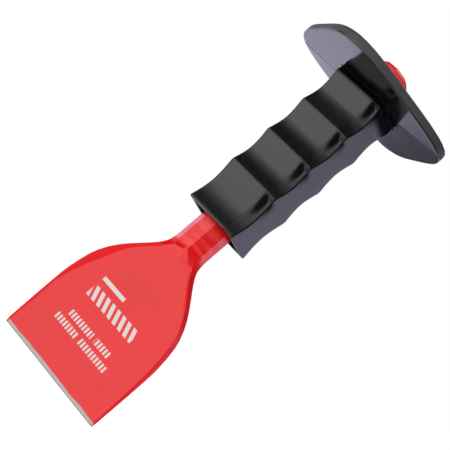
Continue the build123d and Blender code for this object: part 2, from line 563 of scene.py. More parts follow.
def finger_groove_tree():
    """Geometry nodes that press evenly pitched finger grooves into the sleeve."""
    tree = bpy.data.node_groups.new("Finger grooves", "GeometryNodeTree")
    face = tree.interface
    face.new_socket("Geometry", in_out="INPUT", socket_type="NodeSocketGeometry")
    for label, value in (
        ("Groove Depth", GROOVE_DEPTH * MM), ("First Crest", FIRST_CREST * MM),
        ("Crest Pitch", CREST_PITCH * MM), ("First Groove Length", (FIRST_CREST - GRIP_FOOT) * MM),
        ("Crest Softness", CREST_SOFTNESS), ("Scoop Depth", SCOOP_DEPTH * MM),
    ):
        socket = face.new_socket(label, in_out="INPUT", socket_type="NodeSocketFloat")
        socket.default_value = value
    face.new_socket("Moulding", in_out="INPUT", socket_type="NodeSocketMaterial")
    face.new_socket("Geometry", in_out="OUTPUT", socket_type="NodeSocketGeometry")

    inputs = tree.nodes.new("NodeGroupInput")
    inputs.label = "Groove sizes"
    place = tree.nodes.new("GeometryNodeInputPosition")
    place.label = "Where on the sleeve"
    split = tree.nodes.new("ShaderNodeSeparateXYZ")
    split.label = "Height on the sleeve"
    above = tree.nodes.new("ShaderNodeMath")
    above.label = "Height past the first crest"
    above.operation = "SUBTRACT"
    upper = tree.nodes.new("ShaderNodeMath")
    upper.label = "Part above the first crest"
    upper.operation = "MAXIMUM"
    upper.inputs[1].default_value = 0.0
    lower = tree.nodes.new("ShaderNodeMath")
    lower.label = "Part below the first crest"
    lower.operation = "MINIMUM"
    lower.inputs[1].default_value = 0.0
    upper_turns = tree.nodes.new("ShaderNodeMath")
    upper_turns.label = "Pitches above"
    upper_turns.operation = "DIVIDE"
    lower_turns = tree.nodes.new("ShaderNodeMath")
    lower_turns.label = "Pitches below"
    lower_turns.operation = "DIVIDE"
    turns = tree.nodes.new("ShaderNodeMath")
    turns.label = "Place along the row"
    turns.operation = "ADD"
    gap = tree.nodes.new("ShaderNodeMath")
    gap.label = "Distance from the nearest crest"
    gap.operation = "PINGPONG"
    gap.inputs[1].default_value = 0.5
    gap_full = tree.nodes.new("ShaderNodeMath")
    gap_full.label = "One at the groove's floor"
    gap_full.operation = "MULTIPLY"
    gap_full.inputs[1].default_value = 2.0
    squared = tree.nodes.new("ShaderNodeMath")
    squared.label = "Distance squared"
    squared.operation = "MULTIPLY"
    soft_squared = tree.nodes.new("ShaderNodeMath")
    soft_squared.label = "Softness squared"
    soft_squared.operation = "MULTIPLY"
    eased = tree.nodes.new("ShaderNodeMath")
    eased.label = "Eased crest, squared"
    eased.operation = "ADD"
    eased_root = tree.nodes.new("ShaderNodeMath")
    eased_root.label = "Eased crest"
    eased_root.operation = "SQRT"
    off_crest = tree.nodes.new("ShaderNodeMath")
    off_crest.label = "Zero on the crest"
    off_crest.operation = "SUBTRACT"
    rest = tree.nodes.new("ShaderNodeMath")
    rest.label = "Two less the distance"
    rest.operation = "SUBTRACT"
    rest.inputs[0].default_value = 2.0
    bowl = tree.nodes.new("ShaderNodeMath")
    bowl.label = "Round-bottomed groove"
    bowl.operation = "MULTIPLY"
    sunk = tree.nodes.new("ShaderNodeMath")
    sunk.label = "Groove at its depth"
    sunk.operation = "MULTIPLY"
    share = tree.nodes.new("GeometryNodeInputNamedAttribute")
    share.label = "How fully this side follows"
    share.data_type = "FLOAT"
    share.inputs["Name"].default_value = "groove_share"
    shift = tree.nodes.new("ShaderNodeMath")
    shift.label = "Shift towards the middle"
    shift.operation = "MULTIPLY"
    vector = tree.nodes.new("ShaderNodeCombineXYZ")
    vector.label = "Straight in"
    progress = tree.nodes.new("ShaderNodeMath")
    progress.label = "Progress from one crest to the next"
    progress.operation = "FRACT"
    late = tree.nodes.new("ShaderNodeMath")
    late.label = "Mostly near the next crest"
    late.operation = "POWER"
    late.inputs[1].default_value = SCOOP_LATENESS
    left_over = tree.nodes.new("ShaderNodeMath")
    left_over.label = "Distance left to the crest"
    left_over.operation = "SUBTRACT"
    left_over.inputs[0].default_value = 1.0
    hollow = tree.nodes.new("ShaderNodeMath")
    hollow.label = "Scoop outline"
    hollow.operation = "MULTIPLY"
    hollow_full = tree.nodes.new("ShaderNodeMath")
    hollow_full.label = "About one at the scoop's deepest"
    hollow_full.operation = "MULTIPLY"
    hollow_full.inputs[1].default_value = SCOOP_SCALE
    hollow_deep = tree.nodes.new("ShaderNodeMath")
    hollow_deep.label = "Scoop at its depth"
    hollow_deep.operation = "MULTIPLY"
    scoop_share = tree.nodes.new("GeometryNodeInputNamedAttribute")
    scoop_share.label = "How fully this strip is scooped"
    scoop_share.data_type = "FLOAT"
    scoop_share.inputs["Name"].default_value = "scoop_share"
    scooped = tree.nodes.new("ShaderNodeMath")
    scooped.label = "Scoop on this strip"
    scooped.operation = "MULTIPLY"
    scoop_in = tree.nodes.new("ShaderNodeVectorMath")
    scoop_in.label = "Into the chamfer, mostly straight back"
    scoop_in.operation = "SCALE"
    scoop_in.inputs[0].default_value = SCOOP_DIRECTION
    both = tree.nodes.new("ShaderNodeVectorMath")
    both.label = "Grooves and scoops"
    both.operation = "ADD"
    press = tree.nodes.new("GeometryNodeSetPosition")
    press.label = "Press the grooves"
    realize = tree.nodes.new("GeometryNodeRealizeInstances")
    realize.label = "Plain mesh"
    material = tree.nodes.new("GeometryNodeSetMaterial")
    material.label = "Moulded plastic"
    output = tree.nodes.new("NodeGroupOutput")
    output.label = "Grooved sleeve"

    for node, spot in (
        (inputs, (-1500, 0)), (place, (-1500, 300)), (split, (-1300, 300)), (above, (-1100, 300)),
        (upper, (-900, 400)), (lower, (-900, 200)), (upper_turns, (-700, 400)),
        (lower_turns, (-700, 200)), (turns, (-500, 300)), (gap, (-300, 300)),
        (gap_full, (-100, 300)), (squared, (100, 300)), (soft_squared, (100, 100)),
        (eased, (300, 200)), (eased_root, (500, 200)), (off_crest, (700, 200)), (rest, (900, 300)),
        (bowl, (1100, 200)), (sunk, (1300, 200)), (share, (1100, 0)), (shift, (1500, 200)),
        (vector, (1700, 200)), (progress, (-100, -300)), (late, (100, -300)),
        (left_over, (100, -500)), (hollow, (300, -400)), (hollow_full, (500, -400)),
        (hollow_deep, (700, -400)), (scoop_share, (700, -650)), (scooped, (900, -450)),
        (scoop_in, (1100, -450)), (both, (1800, -100)), (press, (1900, 0)), (realize, (2100, 0)),
        (material, (2300, 0)), (output, (2500, 0)),
    ):
        node.location = spot

    links = tree.links
    links.new(place.outputs["Position"], split.inputs["Vector"])
    links.new(split.outputs["Z"], above.inputs[0])
    links.new(inputs.outputs["First Crest"], above.inputs[1])
    links.new(above.outputs[0], upper.inputs[0])
    links.new(above.outputs[0], lower.inputs[0])
    links.new(upper.outputs[0], upper_turns.inputs[0])
    links.new(inputs.outputs["Crest Pitch"], upper_turns.inputs[1])
    links.new(lower.outputs[0], lower_turns.inputs[0])
    links.new(inputs.outputs["First Groove Length"], lower_turns.inputs[1])
    links.new(upper_turns.outputs[0], turns.inputs[0])
    links.new(lower_turns.outputs[0], turns.inputs[1])
    links.new(turns.outputs[0], gap.inputs[0])
    links.new(gap.outputs[0], gap_full.inputs[0])
    links.new(gap_full.outputs[0], squared.inputs[0])
    links.new(gap_full.outputs[0], squared.inputs[1])
    links.new(inputs.outputs["Crest Softness"], soft_squared.inputs[0])
    links.new(inputs.outputs["Crest Softness"], soft_squared.inputs[1])
    links.new(squared.outputs[0], eased.inputs[0])
    links.new(soft_squared.outputs[0], eased.inputs[1])
    links.new(eased.outputs[0], eased_root.inputs[0])
    links.new(eased_root.outputs[0], off_crest.inputs[0])
    links.new(inputs.outputs["Crest Softness"], off_crest.inputs[1])
    links.new(off_crest.outputs[0], rest.inputs[1])
    links.new(off_crest.outputs[0], bowl.inputs[0])
    links.new(rest.outputs[0], bowl.inputs[1])
    links.new(bowl.outputs[0], sunk.inputs[0])
    links.new(inputs.outputs["Groove Depth"], sunk.inputs[1])
    links.new(sunk.outputs[0], shift.inputs[0])
    links.new(share.outputs["Attribute"], shift.inputs[1])
    links.new(shift.outputs[0], vector.inputs["Y"])
    links.new(inputs.outputs["Geometry"], press.inputs["Geometry"])
    links.new(turns.outputs[0], progress.inputs[0])
    links.new(progress.outputs[0], late.inputs[0])
    links.new(progress.outputs[0], left_over.inputs[1])
    links.new(late.outputs[0], hollow.inputs[0])
    links.new(left_over.outputs[0], hollow.inputs[1])
    links.new(hollow.outputs[0], hollow_full.inputs[0])
    links.new(hollow_full.outputs[0], hollow_deep.inputs[0])
    links.new(inputs.outputs["Scoop Depth"], hollow_deep.inputs[1])
    links.new(hollow_deep.outputs[0], scooped.inputs[0])
    links.new(scoop_share.outputs["Attribute"], scooped.inputs[1])
    links.new(scooped.outputs[0], scoop_in.inputs["Scale"])
    links.new(vector.outputs["Vector"], both.inputs[0])
    links.new(scoop_in.outputs["Vector"], both.inputs[1])
    links.new(both.outputs["Vector"], press.inputs["Offset"])
    links.new(press.outputs["Geometry"], realize.inputs["Geometry"])
    links.new(realize.outputs["Geometry"], material.inputs["Geometry"])
    links.new(inputs.outputs["Moulding"], material.inputs["Material"])
    links.new(material.outputs["Geometry"], output.inputs["Geometry"])
    return tree


def set_tree_input(modifier, tree, label, value):
    """Sets a modifier input by its socket's identifier."""
    for item in tree.interface.items_tree:
        if item.item_type == "SOCKET" and item.in_out == "INPUT" and item.name == label:
            modifier[item.identifier] = value
            return
    raise RuntimeError(f"the tree has no input called {label}")


def freeze(obj):
    """Turns the modifiers' result into the piece's own plain mesh."""
    depsgraph = bpy.context.evaluated_depsgraph_get()
    mesh = bpy.data.meshes.new_from_object(
        obj.evaluated_get(depsgraph), preserve_all_data_layers=True, depsgraph=depsgraph)
    mesh.name = obj.name
    obj.modifiers.clear()
    obj.data = mesh


# ---------------------------------------------------------------- materials

def red_enamel(name, settings):
    """Gloss enamel over forged steel, a bare ground edge and plain white printed marks."""
    material = bpy.data.materials.new(name)
    material.use_nodes = True
    tree = material.node_tree
    tree.nodes.clear()
    nodes, links = tree.nodes, tree.links

    surface = nodes.new("NodeFrame")
    surface.label = "Enamel colour"
    relief = nodes.new("NodeFrame")
    relief.label = "Forged and sprayed relief"
    ground = nodes.new("NodeFrame")
    ground.label = "Bare ground edge"
    printed = nodes.new("NodeFrame")
    printed.label = "White printed marks"

    coords = nodes.new("ShaderNodeTexCoord")
    coords.label = "Place on the forging"
    shaded_share = nodes.new("ShaderNodeAttribute")
    shaded_share.label = "Share of painted shade"
    shaded_share.attribute_name = "painted_shade_red"
    dull_shade_amount = nodes.new("ShaderNodeMapRange")
    dull_shade_amount.label = "How much dull red painted shade"
    dull_shade_amount.inputs["From Min"].default_value = 0.5
    dull_shade_amount.inputs["From Max"].default_value = 0.95
    dull_shade_amount.inputs["To Max"].default_value = 0.7
    # Painted shade: a dull deep red diffuse, mixed over the gloss enamel where the shade shares say,
    # darkens the left bevel, the fan's step, the neck facet and the narrow sides.
    shade_red = nodes.new("ShaderNodeBsdfDiffuse")
    shade_red.label = "Dull red painted shade"
    shade_red.inputs["Color"].default_value = (*settings.enamel_deep, 1.0)
    gloss_or_shade = nodes.new("ShaderNodeMixShader")
    gloss_or_shade.label = "Gloss enamel or painted shade"
    split = nodes.new("ShaderNodeSeparateXYZ")
    split.label = "Across and along the blade"

    cloud = nodes.new("ShaderNodeTexNoise")
    cloud.label = "Uneven spray"
    cloud.inputs["Scale"].default_value = 26.0
    cloud.inputs["Detail"].default_value = 4.0
    shade = nodes.new("ShaderNodeValToRGB")
    shade.label = "Deep and full paint"
    shade.color_ramp.elements[0].position = 0.35
    shade.color_ramp.elements[0].color = (*settings.enamel_deep, 1.0)
    shade.color_ramp.elements[1].position = 0.7
    shade.color_ramp.elements[1].color = (*settings.enamel, 1.0)
    specks = nodes.new("ShaderNodeTexNoise")
    specks.label = "Dust in the paint"
    specks.inputs["Scale"].default_value = 900.0
    specks.inputs["Detail"].default_value = 2.0
    speck_mask = nodes.new("ShaderNodeMapRange")
    speck_mask.label = "Only the odd speck"
    speck_mask.inputs["From Min"].default_value = 0.70
    speck_mask.inputs["From Max"].default_value = 0.78
    speck_mask.inputs["To Max"].default_value = 0.5
    specked = nodes.new("ShaderNodeMix")
    specked.label = "Paint with specks"
    specked.data_type = "RGBA"
    specked.inputs["B"].default_value = (*settings.enamel_deep, 1.0)

    scale_place = nodes.new("ShaderNodeMapping")
    scale_place.label = "Forging bands lie across the neck"
    scale_place.inputs["Scale"].default_value = (30.0, 30.0, 260.0)
    bands = nodes.new("ShaderNodeTexNoise")
    bands.label = "Uneven bands left by forging"
    bands.inputs["Scale"].default_value = 1.0
    bands.inputs["Detail"].default_value = 2.0
    band_mask = nodes.new("ShaderNodeMapRange")
    band_mask.label = "Only the thin bands"
    band_mask.inputs["From Min"].default_value = 0.48
    band_mask.inputs["From Max"].default_value = 0.62
    band_mask.inputs["To Max"].default_value = 0.4
    neck_only = nodes.new("ShaderNodeMapRange")
    neck_only.label = "From the neck up"
    neck_only.inputs["From Min"].default_value = NECK_BANDS_START[0] * MM
    neck_only.inputs["From Max"].default_value = NECK_BANDS_START[1] * MM
    band_share = nodes.new("ShaderNodeMath")
    band_share.label = "Thin bands on the neck"
    band_share.operation = "MULTIPLY"
    banded = nodes.new("ShaderNodeMix")
    banded.label = "Paint with paler bands"
    banded.data_type = "RGBA"
    banded.inputs["B"].default_value = (*settings.enamel_thin, 1.0)

    wave = nodes.new("ShaderNodeTexNoise")
    wave.label = "Wander of the paint line"
    wave.inputs["Scale"].default_value = 90.0
    wave.inputs["Detail"].default_value = 3.0
    wander = nodes.new("ShaderNodeMath")
    wander.label = "Paint line wandering in metres"
    wander.operation = "MULTIPLY"
    wander.inputs[1].default_value = 0.0016
    line_height = nodes.new("ShaderNodeMath")
    line_height.label = "Height against the paint line"
    line_height.operation = "ADD"
    bare = nodes.new("ShaderNodeMapRange")
    bare.label = "Bare below the line"
    bare.inputs["From Min"].default_value = PAINT_LINE[0] * MM
    bare.inputs["From Max"].default_value = PAINT_LINE[1] * MM
    bare.inputs["To Min"].default_value = 1.0
    bare.inputs["To Max"].default_value = 0.0
    grind_place = nodes.new("ShaderNodeMapping")
    grind_place.label = "Grinding runs up the blade"
    grind_place.inputs["Scale"].default_value = (2600.0, 60.0, 60.0)
    grind = nodes.new("ShaderNodeTexNoise")
    grind.label = "Grinding scratches"
    grind.inputs["Scale"].default_value = 1.0
    grind.inputs["Detail"].default_value = 2.0
    steel_tone = nodes.new("ShaderNodeValToRGB")
    steel_tone.label = "Ground steel tones"
    steel_tone.color_ramp.elements[0].position = 0.3
    steel_tone.color_ramp.elements[0].color = (*[0.72 * part for part in settings.bare_steel], 1.0)
    steel_tone.color_ramp.elements[1].position = 0.7
    steel_tone.color_ramp.elements[1].color = (*settings.bare_steel, 1.0)

    # two fine rows of upright strokes, a bold row of slanted ones and a bar, each in its window
    front_side = nodes.new("ShaderNodeMath")
    front_side.label = "Front face only"
    front_side.operation = "LESS_THAN"
    front_side.inputs[1].default_value = 0.0
    low_across = nodes.new("ShaderNodeMath")
    low_across.label = "Low row, its length"
    low_across.operation = "COMPARE"
    low_across.inputs[1].default_value = 0.0
    low_across.inputs[2].default_value = 0.0208
    low_along = nodes.new("ShaderNodeMath")
    low_along.label = "Low row, its height"
    low_along.operation = "COMPARE"
    low_along.inputs[1].default_value = 0.0212
    low_along.inputs[2].default_value = 0.0017
    mid_across = nodes.new("ShaderNodeMath")
    mid_across.label = "Second row, its length"
    mid_across.operation = "COMPARE"
    mid_across.inputs[1].default_value = 0.0
    mid_across.inputs[2].default_value = 0.0168
    mid_along = nodes.new("ShaderNodeMath")
    mid_along.label = "Second row, its height"
    mid_along.operation = "COMPARE"
    mid_along.inputs[1].default_value = 0.0270
    mid_along.inputs[2].default_value = 0.0017
    bold_across = nodes.new("ShaderNodeMath")
    bold_across.label = "Bold row, its length"
    bold_across.operation = "COMPARE"
    bold_across.inputs[1].default_value = 0.0
    bold_across.inputs[2].default_value = 0.0182
    bold_along = nodes.new("ShaderNodeMath")
    bold_along.label = "Bold row, its height"
    bold_along.operation = "COMPARE"
    bold_along.inputs[1].default_value = 0.0417
    bold_along.inputs[2].default_value = 0.0034
    bar_across = nodes.new("ShaderNodeMath")
    bar_across.label = "Bar, its length"
    bar_across.operation = "COMPARE"
    bar_across.inputs[1].default_value = -0.0094
    bar_across.inputs[2].default_value = 0.0086
    bar_along = nodes.new("ShaderNodeMath")
    bar_along.label = "Bar, its height"
    bar_along.operation = "COMPARE"
    bar_along.inputs[1].default_value = 0.0498
    bar_along.inputs[2].default_value = 0.0011
    low_row = nodes.new("ShaderNodeMath")
    low_row.label = "Low row window"
    low_row.operation = "MULTIPLY"
    mid_row = nodes.new("ShaderNodeMath")
    mid_row.label = "Second row window"
    mid_row.operation = "MULTIPLY"
    bold_row = nodes.new("ShaderNodeMath")
    bold_row.label = "Bold row window"
    bold_row.operation = "MULTIPLY"
    bar_row = nodes.new("ShaderNodeMath")
    bar_row.label = "Bar window"
    bar_row.operation = "MULTIPLY"
    low_gap = nodes.new("ShaderNodeMath")
    low_gap.label = "Pause in the low row"
    low_gap.operation = "COMPARE"
    low_gap.inputs[1].default_value = -0.0018
    low_gap.inputs[2].default_value = 0.0012
    mid_gap = nodes.new("ShaderNodeMath")
    mid_gap.label = "Pause in the second row"
    mid_gap.operation = "COMPARE"
    mid_gap.inputs[1].default_value = 0.0036
    mid_gap.inputs[2].default_value = 0.0012
    low_words = nodes.new("ShaderNodeMath")
    low_words.label = "Low row in two runs"
    low_words.operation = "SUBTRACT"
    low_words.use_clamp = True
    mid_words = nodes.new("ShaderNodeMath")
    mid_words.label = "Second row in two runs"
    mid_words.operation = "SUBTRACT"
    mid_words.use_clamp = True
    fine_windows = nodes.new("ShaderNodeMath")
    fine_windows.label = "Both fine rows"
    fine_windows.operation = "MAXIMUM"
    fine_turn = nodes.new("ShaderNodeMath")
    fine_turn.label = "Fine stroke spacing"
    fine_turn.operation = "PINGPONG"
    fine_turn.inputs[1].default_value = 0.0011
    fine_stroke = nodes.new("ShaderNodeMath")
    fine_stroke.label = "Fine strokes"
    fine_stroke.operation = "LESS_THAN"
    fine_stroke.inputs[1].default_value = 0.00062
    slant = nodes.new("ShaderNodeMath")
    slant.label = "Lean of the bold strokes"
    slant.operation = "MULTIPLY_ADD"
    slant.inputs[1].default_value = 0.45
    bold_turn = nodes.new("ShaderNodeMath")
    bold_turn.label = "Bold stroke spacing"
    bold_turn.operation = "PINGPONG"
    bold_turn.inputs[1].default_value = 0.0022
    bold_stroke = nodes.new("ShaderNodeMath")
    bold_stroke.label = "Bold strokes"
    bold_stroke.operation = "LESS_THAN"
    bold_stroke.inputs[1].default_value = 0.00125
    fine_print = nodes.new("ShaderNodeMath")
    fine_print.label = "Fine rows, stroked"
    fine_print.operation = "MULTIPLY"
    bold_print = nodes.new("ShaderNodeMath")
    bold_print.label = "Bold row, stroked"
    bold_print.operation = "MULTIPLY"
    two_prints = nodes.new("ShaderNodeMath")
    two_prints.label = "All stroked rows"
    two_prints.operation = "MAXIMUM"
    all_prints = nodes.new("ShaderNodeMath")
    all_prints.label = "Rows and bar"
    all_prints.operation = "MAXIMUM"
    print_mask = nodes.new("ShaderNodeMath")
    print_mask.label = "Print on the front"
    print_mask.operation = "MULTIPLY"

    inked = nodes.new("ShaderNodeMix")
    inked.label = "Enamel and white ink"
    inked.data_type = "RGBA"
    inked.inputs["B"].default_value = (*settings.print_white, 1.0)
    coloured = nodes.new("ShaderNodeMix")
    coloured.label = "Enamel or bare steel"
    coloured.data_type = "RGBA"

    gloss_noise = nodes.new("ShaderNodeTexNoise")
    gloss_noise.label = "Patchy gloss"
    gloss_noise.inputs["Scale"].default_value = 60.0
    gloss_noise.inputs["Detail"].default_value = 5.0
    gloss = nodes.new("ShaderNodeMapRange")
    gloss.label = "Gloss of the enamel"
    gloss.inputs["To Min"].default_value = 0.1
    gloss.inputs["To Max"].default_value = 0.24
    roughness = nodes.new("ShaderNodeMix")
    roughness.label = "Duller where bare"
    roughness.data_type = "FLOAT"
    roughness.inputs["B"].default_value = 0.42

    hammer = nodes.new("ShaderNodeTexNoise")
    hammer.label = "Forged unevenness"
    hammer.inputs["Scale"].default_value = 55.0
    hammer.inputs["Detail"].default_value = 3.0
    neck_up = nodes.new("ShaderNodeMapRange")
    neck_up.label = "Rougher forging from the neck up"
    neck_up.inputs["From Min"].default_value = NECK_ROUGH_START[0] * MM
    neck_up.inputs["From Max"].default_value = NECK_ROUGH_START[1] * MM
    neck_up.inputs["To Min"].default_value = 0.22
    neck_up.inputs["To Max"].default_value = 0.9
    hammer_place = nodes.new("ShaderNodeMapping")
    hammer_place.label = "Hammer marks lie across the tool"
    hammer_place.inputs["Scale"].default_value = (0.5, 0.5, 2.6)
    hammer_bump = nodes.new("ShaderNodeBump")
    hammer_bump.label = "Soft forging dents"
    hammer_bump.inputs["Distance"].default_value = 0.0006
    peel = nodes.new("ShaderNodeTexNoise")
    peel.label = "Orange peel"
    peel.inputs["Scale"].default_value = 700.0
    peel.inputs["Detail"].default_value = 2.0
    peel_bump = nodes.new("ShaderNodeBump")
    peel_bump.label = "Sprayed skin"
    peel_bump.inputs["Strength"].default_value = 0.2
    peel_bump.inputs["Distance"].default_value = 0.0001
    ink_bump = nodes.new("ShaderNodeBump")
    ink_bump.label = "Ink stands proud, bare edge sits below the paint"
    ink_bump.inputs["Strength"].default_value = 0.4
    ink_bump.inputs["Distance"].default_value = 0.00005
    shader = nodes.new("ShaderNodeBsdfPrincipled")
    shader.label = "Painted forging"
    shader.inputs["IOR"].default_value = 1.5
    shader.inputs["Coat Weight"].default_value = 0.0
    output = nodes.new("ShaderNodeOutputMaterial")
    output.label = "Forging"

    for node, spot in (
        (shaded_share, (200, -250)), (dull_shade_amount, (400, -250)), (shade_red, (400, -450)),
        (gloss_or_shade, (600, 0)), (coords, (-2200, 0)), (split, (-2000, 0)), (inked, (-600, 600)),
        (coloured, (-300, 500)), (gloss_noise, (-1100, 200)), (gloss, (-850, 200)),
        (roughness, (-300, 200)), (shader, (150, 300)), (output, (500, 300)),
    ):
        node.location = spot
    for node, spot in (
        (cloud, (-1500, 700)), (shade, (-1250, 700)), (specks, (-1500, 450)),
        (speck_mask, (-1250, 450)), (specked, (-950, 700)), (scale_place, (-1700, 1050)),
        (bands, (-1500, 1050)), (band_mask, (-1250, 1050)), (neck_only, (-1250, 1300)),
        (band_share, (-1050, 1100)), (banded, (-800, 900)),
    ):
        node.location = spot
        node.parent = surface
    for node, spot in (
        (wave, (-1700, -200)), (wander, (-1500, -200)), (line_height, (-1300, -200)),
        (bare, (-1100, -200)), (grind_place, (-1700, -500)), (grind, (-1500, -500)),
        (steel_tone, (-1250, -500)),
    ):
        node.location = spot
        node.parent = ground
    for node, spot in (
        (front_side, (-1700, -900)), (low_across, (-1500, -900)), (low_along, (-1500, -1060)),
        (mid_across, (-1500, -1220)), (mid_along, (-1500, -1380)), (bold_across, (-1500, -1540)),
        (bold_along, (-1500, -1700)), (bar_across, (-1500, -1860)), (bar_along, (-1500, -2020)),
        (low_row, (-1300, -980)), (mid_row, (-1300, -1300)), (bold_row, (-1300, -1620)),
        (bar_row, (-1300, -1940)), (low_gap, (-1300, -1100)), (mid_gap, (-1300, -1460)),
        (low_words, (-1200, -1040)), (mid_words, (-1200, -1400)), (fine_windows, (-1100, -1140)),
        (fine_turn, (-1300, -780)), (fine_stroke, (-1100, -780)), (slant, (-1500, -620)),
        (bold_turn, (-1300, -620)), (bold_stroke, (-1100, -620)), (fine_print, (-900, -960)),
        (bold_print, (-900, -1300)), (two_prints, (-700, -1100)), (all_prints, (-500, -1100)),
        (print_mask, (-300, -1100)),
    ):
        node.location = spot
        node.parent = printed
    for node, spot in (
        (hammer, (-900, -300)), (neck_up, (-900, -150)), (hammer_place, (-1120, -300)),
        (hammer_bump, (-650, -300)), (peel, (-900, -550)), (peel_bump, (-400, -400)),
        (ink_bump, (-150, -400)),
    ):
        node.location = spot
        node.parent = relief

    links.new(coords.outputs["Object"], split.inputs["Vector"])
    links.new(coords.outputs["Object"], cloud.inputs["Vector"])
    links.new(coords.outputs["Object"], specks.inputs["Vector"])
    links.new(cloud.outputs["Fac"], shade.inputs["Fac"])
    links.new(specks.outputs["Fac"], speck_mask.inputs["Value"])
    links.new(shade.outputs["Color"], specked.inputs["A"])
    links.new(speck_mask.outputs["Result"], specked.inputs["Factor"])
    links.new(coords.outputs["Object"], wave.inputs["Vector"])
    links.new(wave.outputs["Fac"], wander.inputs[0])
    links.new(wander.outputs[0], line_height.inputs[0])
    links.new(split.outputs["Z"], line_height.inputs[1])
    links.new(line_height.outputs[0], bare.inputs["Value"])
    links.new(coords.outputs["Object"], grind_place.inputs["Vector"])
    links.new(grind_place.outputs["Vector"], grind.inputs["Vector"])
    links.new(grind.outputs["Fac"], steel_tone.inputs["Fac"])
    links.new(split.outputs["Y"], front_side.inputs[0])
    links.new(split.outputs["X"], low_across.inputs[0])
    links.new(split.outputs["Z"], low_along.inputs[0])
    links.new(split.outputs["X"], mid_across.inputs[0])
    links.new(split.outputs["Z"], mid_along.inputs[0])
    links.new(split.outputs["X"], bold_across.inputs[0])
    links.new(split.outputs["Z"], bold_along.inputs[0])
    links.new(split.outputs["X"], bar_across.inputs[0])
    links.new(split.outputs["Z"], bar_along.inputs[0])
    links.new(low_across.outputs[0], low_row.inputs[0])
    links.new(low_along.outputs[0], low_row.inputs[1])
    links.new(mid_across.outputs[0], mid_row.inputs[0])
    links.new(mid_along.outputs[0], mid_row.inputs[1])
    links.new(bold_across.outputs[0], bold_row.inputs[0])
    links.new(bold_along.outputs[0], bold_row.inputs[1])
    links.new(bar_across.outputs[0], bar_row.inputs[0])
    links.new(bar_along.outputs[0], bar_row.inputs[1])
    links.new(split.outputs["X"], low_gap.inputs[0])
    links.new(split.outputs["X"], mid_gap.inputs[0])
    links.new(low_row.outputs[0], low_words.inputs[0])
    links.new(low_gap.outputs[0], low_words.inputs[1])
    links.new(mid_row.outputs[0], mid_words.inputs[0])
    links.new(mid_gap.outputs[0], mid_words.inputs[1])
    links.new(low_words.outputs[0], fine_windows.inputs[0])
    links.new(mid_words.outputs[0], fine_windows.inputs[1])
    links.new(split.outputs["X"], fine_turn.inputs[0])
    links.new(fine_turn.outputs[0], fine_stroke.inputs[0])
    links.new(split.outputs["Z"], slant.inputs[0])
    links.new(split.outputs["X"], slant.inputs[2])
    links.new(slant.outputs[0], bold_turn.inputs[0])
    links.new(bold_turn.outputs[0], bold_stroke.inputs[0])
    links.new(fine_windows.outputs[0], fine_print.inputs[0])
    links.new(fine_stroke.outputs[0], fine_print.inputs[1])
    links.new(bold_row.outputs[0], bold_print.inputs[0])
    links.new(bold_stroke.outputs[0], bold_print.inputs[1])
    links.new(fine_print.outputs[0], two_prints.inputs[0])
    links.new(bold_print.outputs[0], two_prints.inputs[1])
    links.new(two_prints.outputs[0], all_prints.inputs[0])
    links.new(bar_row.outputs[0], all_prints.inputs[1])
    links.new(all_prints.outputs[0], print_mask.inputs[0])
    links.new(front_side.outputs[0], print_mask.inputs[1])
    links.new(coords.outputs["Object"], scale_place.inputs["Vector"])
    links.new(scale_place.outputs["Vector"], bands.inputs["Vector"])
    links.new(bands.outputs["Fac"], band_mask.inputs["Value"])
    links.new(split.outputs["Z"], neck_only.inputs["Value"])
    links.new(band_mask.outputs["Result"], band_share.inputs[0])
    links.new(neck_only.outputs["Result"], band_share.inputs[1])
    links.new(band_share.outputs[0], banded.inputs["Factor"])
    links.new(specked.outputs["Result"], banded.inputs["A"])
    links.new(banded.outputs["Result"], inked.inputs["A"])
    links.new(print_mask.outputs[0], inked.inputs["Factor"])
    links.new(inked.outputs["Result"], coloured.inputs["A"])
    links.new(steel_tone.outputs["Color"], coloured.inputs["B"])
    links.new(bare.outputs["Result"], coloured.inputs["Factor"])
    links.new(coords.outputs["Object"], gloss_noise.inputs["Vector"])
    links.new(gloss_noise.outputs["Fac"], gloss.inputs["Value"])
    links.new(gloss.outputs["Result"], roughness.inputs["A"])
    links.new(bare.outputs["Result"], roughness.inputs["Factor"])
    links.new(split.outputs["Z"], neck_up.inputs["Value"])
    links.new(neck_up.outputs["Result"], hammer_bump.inputs["Strength"])
    links.new(coords.outputs["Object"], hammer_place.inputs["Vector"])
    links.new(hammer_place.outputs["Vector"], hammer.inputs["Vector"])
    links.new(hammer.outputs["Fac"], hammer_bump.inputs["Height"])
    links.new(coords.outputs["Object"], peel.inputs["Vector"])
    links.new(peel.outputs["Fac"], peel_bump.inputs["Height"])
    links.new(hammer_bump.outputs["Normal"], peel_bump.inputs["Normal"])
    links.new(print_mask.outputs[0], ink_bump.inputs["Height"])
    links.new(peel_bump.outputs["Normal"], ink_bump.inputs["Normal"])
    links.new(coloured.outputs["Result"], shader.inputs["Base Color"])
    links.new(bare.outputs["Result"], shader.inputs["Metallic"])
    links.new(roughness.outputs["Result"], shader.inputs["Roughness"])
    links.new(ink_bump.outputs["Normal"], shader.inputs["Normal"])
    links.new(shaded_share.outputs["Fac"], dull_shade_amount.inputs["Value"])
    links.new(dull_shade_amount.outputs["Result"], gloss_or_shade.inputs["Fac"])
    links.new(shader.outputs["BSDF"], gloss_or_shade.inputs[1])
    links.new(shade_red.outputs["BSDF"], gloss_or_shade.inputs[2])
    links.new(gloss_or_shade.outputs["Shader"], output.inputs["Surface"])
    return material


